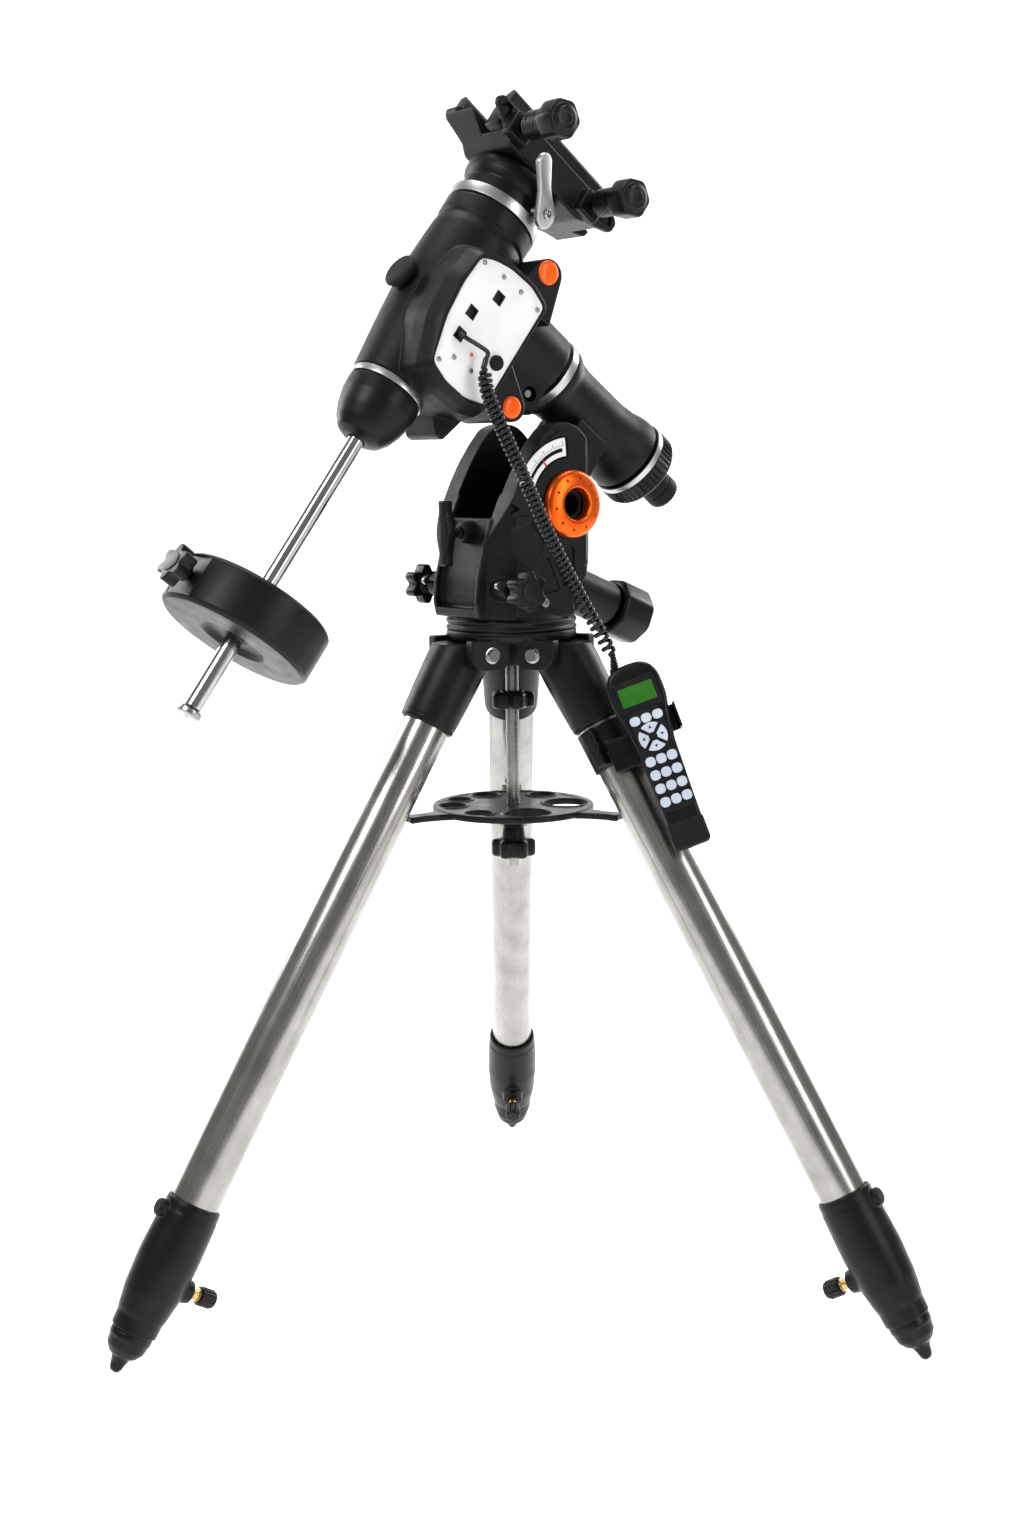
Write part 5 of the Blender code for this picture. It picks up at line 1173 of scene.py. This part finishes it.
def make_saddle():
    piece("dec_hub_casting", TOP, lathe([
        (0, 0.1386), (0.0450, 0.1386), (0.0492, 0.1362), (0.0505, 0.1310), (0.0505, 0.1290),
        (0.0498, 0.1230), (0.0470, 0.1180), (0.0445, 0.1150), (0.0440, 0.0990), (0, 0.0990)],
        0.0020, 144, False, 4), "coat", "dec", ["dec_hub"])
    ring = lathe([(0.0512, 0.0984), (0.0512, 0.0866), (0.0260, 0.0866), (0.0260, 0.0984)],
                 0.0006, 144, True)
    dot = moved(rod(0.0007, 0.0509, 0.053, 20), (0, 0, 0.0925), facing((0.80, -0.60, 0)))
    piece("dec_degree_ring", TOP, ring, "ring", "dec", ["dec_setting_circle"], cuts=dot)
    bar = soft(slab(eased(SADDLE_SIDE, 0.004, 4, True), -0.0500, 0.0460), 0.0024, 3)
    adds = [moved(bar, rotation=SIDE)]
    wall = soft(slab([(-0.0508, 0.1560), (-0.0295, 0.1560), (-0.0295, 0.1640), (-0.0360, 0.1780),
                      (-0.0430, 0.1870), (-0.0508, 0.1850)], -0.0940, 0.0780), 0.0012, 2)
    cuts = [block((-0.0300, -0.12, 0.1580), (0.0380, 0.12, 0.1830)),
            block((0.0010, -0.12, 0.1432), (0.0380, 0.12, 0.20)),
            moved(slab([(-0.0700, 0.1100), (-0.0360, 0.1100), (-0.0360, 0.1400),
                        (-0.0490, 0.1540), (-0.0700, 0.1540)], -0.1200, 0.1000), rotation=UPSIDE)]
    for along in KNOB_ALONG.values():
        pad_block = block((0.0440, along - 0.014, 0.1350), (0.0580, along + 0.014, 0.1620))
        adds.append(soft(pad_block, 0.0030, 3))
        cuts.append(moved(rod(0.0054, 0.0200, 0.08, 32), (0, along, KNOB_HEIGHT), facing((1, 0, 0))))
    # ribbed pockets under the overhanging ends, on the knob side
    for outline in ([(-0.0790, 0.1560), (-0.0745, 0.1640), (-0.0660, 0.1640), (-0.0660, 0.1500)],
                    [(0.0830, 0.1480), (0.0830, 0.1630), (0.0960, 0.1630), (0.1000, 0.1540)]):
        cuts.append(moved(slab(eased(outline, 0.0015, 3, True), 0.0410, 0.06), rotation=SIDE))
    piece("saddle_casting", DEC, adds, "coat", "dec", ["saddle"], cuts=cuts, voxel=0.0009, smooth=3,
          keep=140000)
    piece("saddle_rail", DEC, moved(wall, rotation=UPSIDE), "coat", "dec")
    jaw = soft(slab([
        (0.0140, 0.1442), (0.0372, 0.1442), (0.0372, 0.1840), (0.0300, 0.1900), (0.0220, 0.1840),
        (0.0130, 0.1660)], -0.0840, 0.0700), 0.0022, 3)
    piece("saddle_jaw", DEC, moved(jaw, rotation=UPSIDE), "coat", "saddle_clamp", ["saddle_clamp"])
    for name, along in KNOB_ALONG.items():
        at = put(DEC, (0, along, KNOB_HEIGHT), facing((1, 0, 0)))
        grip = soft(slab(eased(hexagon(0.0212), 0.005, 5, True), 0.1010, 0.1250), 0.0030, 4)
        stem = lathe([
            (0, 0.1290), (0.0060, 0.1290), (0.0064, 0.1283), (0.0110, 0.1278), (0.0114, 0.1268),
            (0.0145, 0.1258), (0.0165, 0.1235), (0.0165, 0.1030), (0.0145, 0.0990), (0.0145, 0.0720),
            (0.0120, 0.0690), (0.0050, 0.0685), (0.0050, 0.0376), (0, 0.0376)], 0.0006, 72)
        grooves = [pipe(0.0160, 0.0138, 0.0740 + k * 0.0055, 0.0750 + k * 0.0055, 72, 0)
                   for k in range(4)]
        piece("saddle_grip_" + name, at, [grip, stem], "plastic", "saddle_knob_" + name,
              ["saddle_knob_" + name], cuts=grooves)
    way = facing((0.94, 0.34, 0), (0.40, -1.20, 1))
    at = put(DEC, (0, 0, 0.1010), way)
    arm = soft(slab(lever(0.050, 0.0155, 0.0108), 0.0560, 0.0622), 0.0018, 3)
    piece("dec_lever_arm", at, [arm, rod(0.0050, 0.0449, 0.0580, 36)], "lever", "dec_clutch",
          ["dec_clutch_lever"])
    screw = lathe([(0, 0.0656), (0.0044, 0.0656), (0.0056, 0.0644), (0.0058, 0.0620), (0, 0.0620)],
                  0.0005, 40)
    piece("dec_lever_screw", at, screw, "chrome", "dec_clutch", cuts=slab(hexagon(0.0028), 0.0636, 0.07))


make_ra()
make_dec_housing()
make_weight()
make_saddle()

# ---------------------------------------------------------------- hand controller
HANDSET_SIDE = [
    (0.100, 0.0), (0.099, 0.014), (0.093, 0.023), (0.082, 0.0285), (0.060, 0.0290),
    (0.036, 0.0240), (0.010, 0.0205), (-0.050, 0.0190), (-0.096, 0.0185), (-0.100, 0.0150),
]


def pad(x, y, width, height, low, high, corner, crown=0.0006):
    """A raised key whose corners and top edge are rounded."""
    return moved(soft(slab(rounded(width, height, corner), low, high), crown, 3, 50), (x, y, 0))


KEY_LOW, KEY_HIGH = 0.0128, 0.0149
ARROWS_UP = 0.0195


def make_controller():
    outline = HANDSET_SIDE + [(x, -y) for x, y in reversed(HANDSET_SIDE[1:])]
    outline = eased(outline, 0.006, 4, True)
    shell = soft(slab(outline, -0.0120, 0.0120), 0.0046, 5, 40)
    # the seam between the case's halves is a shallow groove all round
    wide = slab([(x * 1.1, y * 1.2) for x, y in outline], -0.0004, 0.0004)
    seam = carved(wide, "DIFFERENCE", slab([(x * 0.985, y * 0.965) for x, y in outline], -0.001, 0.001))
    window = slab(rounded(0.0330, 0.0440, 0.003), 0.0112, 0.02)
    # the key sheet is pressed down into this well
    well = slab(rounded(0.1106, 0.0362, 0.0066), 0.0110, 0.02)
    piece("handset_shell", HANDSET, shell, "plastic", "hand_controller", ["hand_controller"],
          cuts=[seam, moved(window, (0.0670, 0, 0)), moved(well, (-0.005, 0, 0))])
    piece("handset_bezel", HANDSET, pad(0.0670, 0, 0.0326, 0.0436, 0.0110, 0.0126, 0.0028, 0.0004),
          "bezel", "hand_controller")
    piece("handset_screen", HANDSET, pad(0.0665, 0, 0.0200, 0.0370, 0.0118, 0.0129, 0.0012, 0.0002),
          "screen", "hand_controller")
    piece("key_sheet", HANDSET, pad(-0.005, 0, 0.110, 0.0350, 0.0121, 0.0134, 0.006, 0.0003),
          "rubber", "keypad", ["keypad"])
    for k, y in enumerate((-0.0122, 0.0, 0.0122)):
        piece(f"key_top_{k}", HANDSET, pad(0.0400, y, 0.0095, 0.0108, KEY_LOW, KEY_HIGH, 0.0040),
              "keys", "keypad")
    for k in range(4):
        start = 90 * k + 52
        wedge = arc((0, 0), 0.0150, start, start + 76, 18) + arc((0, 0), 0.0046, start + 62, start + 14, 8)
        key = soft(slab(eased(wedge, 0.0022, 3, True), KEY_LOW, KEY_HIGH), 0.0006, 3, 50)
        piece(f"arrow_key_{k}", HANDSET, moved(key, (ARROWS_UP, 0, 0)), "keys", "keypad")
        angle = math.radians(start + 38)
        tip = [(0.0022, 0), (-0.0012, 0.0019), (-0.0012, -0.0019)]
        mark = moved(slab(tip, 0.0146, 0.01502), rotation=Matrix.Rotation(angle, 3, "Z"))
        at = (ARROWS_UP + 0.0100 * math.cos(angle), 0.0100 * math.sin(angle), 0)
        piece(f"arrow_mark_{k}", HANDSET, moved(mark, at), "print", "keypad")
    for down in range(4):
        for k, y in enumerate((-0.0116, 0.0, 0.0116)):
            key = pad(-0.0045 - 0.0146 * down, y, 0.0102, 0.0104, KEY_LOW, KEY_HIGH, 0.0042)
            piece(f"key_{down}_{k}", HANDSET, key, "keys", "keypad")
    foot = soft(slab(rounded(0.030, 0.0395, 0.005), -0.0126, 0.0126), 0.004, 4, 50)
    piece("handset_grip_end", HANDSET, moved(foot, (-0.0845, 0, 0)), "rubber", "hand_controller")
    relief = [(0, 0.0190), (0.0027, 0.0190)]
    for k in range(5):
        top = 0.0180 - k * 0.0030
        wide = 0.0030 + k * 0.00035
        relief += [(wide, top), (wide, top - 0.0018), (wide - 0.0007, top - 0.0021),
                   (wide - 0.0007, top - 0.0029)]
    relief += [(0.0052, 0.0020), (0.0052, -0.0060), (0, -0.0060)]
    entry = Vector((0.0985, 0.0130, -0.0020))
    target = HANDSET.inverted() @ (STAND @ Vector(COIL_ROUTE[-1]))
    boot = moved(turned(relief, 40), entry, facing(target - entry))
    piece("handset_relief", HANDSET, boot, "rubber", "hand_controller")

    def on_leg(shape):
        """A shape given in the handset's frame, carried to the leg's."""
        bmesh.ops.transform(shape, verts=shape.verts, matrix=LEG["right"].inverted() @ HANDSET)
        return shape

    band = moved(pipe(0.0285, TUBE + GAP, -0.142, -0.0965, 96, 0.0008), (AXIS_OUT, 0, 0))
    ear = soft(block((-0.0060, -0.0420, -0.139), (0.0060, -0.0265, -0.0985)), 0.0015)
    parts = [band, moved(ear, (AXIS_OUT, 0, 0))]
    parts += [on_leg(soft(block(low, high), 0.0012, 2)) for low, high in (
        ((-0.097, -0.0170, -0.0170), (0.050, 0.0170, -0.0127)),
        ((0.020, -0.0330, -0.0170), (0.048, -0.0303, 0.0060)),
        ((0.020, -0.0320, -0.0170), (0.048, -0.0150, -0.0140)),
        ((0.0, -0.0120, -0.0420), (0.034, 0.0480, -0.0145)))]
    hollow = moved(rod(TUBE + GAP, -0.20, -0.05, 72), (AXIS_OUT, 0, 0))
    piece("bracket_moulding", LEG["right"], parts, "plastic", "leg_right", ["controller_bracket"],
          cuts=hollow, voxel=0.0009, smooth=3)


make_controller()

# ---------------------------------------------------------------- CAD pieces that stay
STAY = {"ra_worm_wheel": "brass", "dec_worm_wheel": "brass", "ra_shaft": "steel", "dec_shaft": "steel",
        "ra_worm": "steel", "dec_worm": "steel"}
for node, finish in STAY.items():
    shown = bpy.data.objects[node]
    shown.data.materials.clear()
    shown.data.materials.append(M[finish])

# ---------------------------------------------------------------- floor and light
FLOOR_START, BEND_START, BEND_RADIUS = -3.0, 2.571, 1.2
WALL_TOP, HALF_WIDTH = 4.5, 4.5
floor_mesh = bmesh.new()
profile = []
for k in range(25):
    t = k / 24
    if t > 0.6:
        angle = (t - 0.6) / 0.4 * math.pi / 2
        profile.append((BEND_START + BEND_RADIUS * math.sin(angle), BEND_RADIUS * (1 - math.cos(angle))))
    else:
        profile.append((FLOOR_START + 6.5 * t / 0.7, 0.0))
profile.append((BEND_START + BEND_RADIUS, WALL_TOP))
rows = [[floor_mesh.verts.new((x, y, z)) for x in (-HALF_WIDTH, HALF_WIDTH)] for y, z in profile]
for near, far in zip(rows, rows[1:]):
    floor_mesh.faces.new((near[0], near[1], far[1], far[0]))
floor = link(floor_mesh, "studio_sweep")
floor.data.shade_smooth()
paper = coated("studio_paper", (0.90, 0.90, 0.90), (0.915, 0.915, 0.915), 0.85, 400.0, 0.00004)
glow = paper.node_tree.nodes["Principled BSDF"].inputs
glow["Emission Color"].default_value = (1, 1, 1, 1)
glow["Emission Strength"].default_value = 0.66
floor.data.materials.append(paper)

MIDDLE = Vector((0.0, -0.1, 0.75))


def lamp(name, place, size, power):
    """A soft box that looks at the middle of the object."""
    data = bpy.data.lights.new(name, "AREA")
    data.shape = "RECTANGLE"
    data.size, data.size_y = size
    data.energy = power
    made = bpy.data.objects.new(name, data)
    bpy.context.scene.collection.objects.link(made)
    away = Vector(place) - MIDDLE
    made.matrix_world = Matrix.Translation(place) @ facing(away, (1, 0, 0)).to_4x4()


lamp("key", (-1.5, -1.9, 2.5), (1.1, 1.1), 48)
lamp("fill", (1.9, -1.6, 1.4), (0.7, 1.8), 24)
lamp("top", (0.0, 0.2, 3.0), (1.8, 1.2), 46)
lamp("rim_left", (-1.7, 1.0, 1.5), (0.6, 1.8), 26)
lamp("rim_right", (1.7, 1.1, 1.6), (0.6, 1.8), 30)
world = bpy.data.worlds.new("studio")
bpy.context.scene.world = world
world.use_nodes = True
world.node_tree.nodes["Background"].inputs["Color"].default_value = (1, 1, 1, 1)
world.node_tree.nodes["Background"].inputs["Strength"].default_value = 0.34
bpy.context.scene.view_settings.view_transform = "Standard"
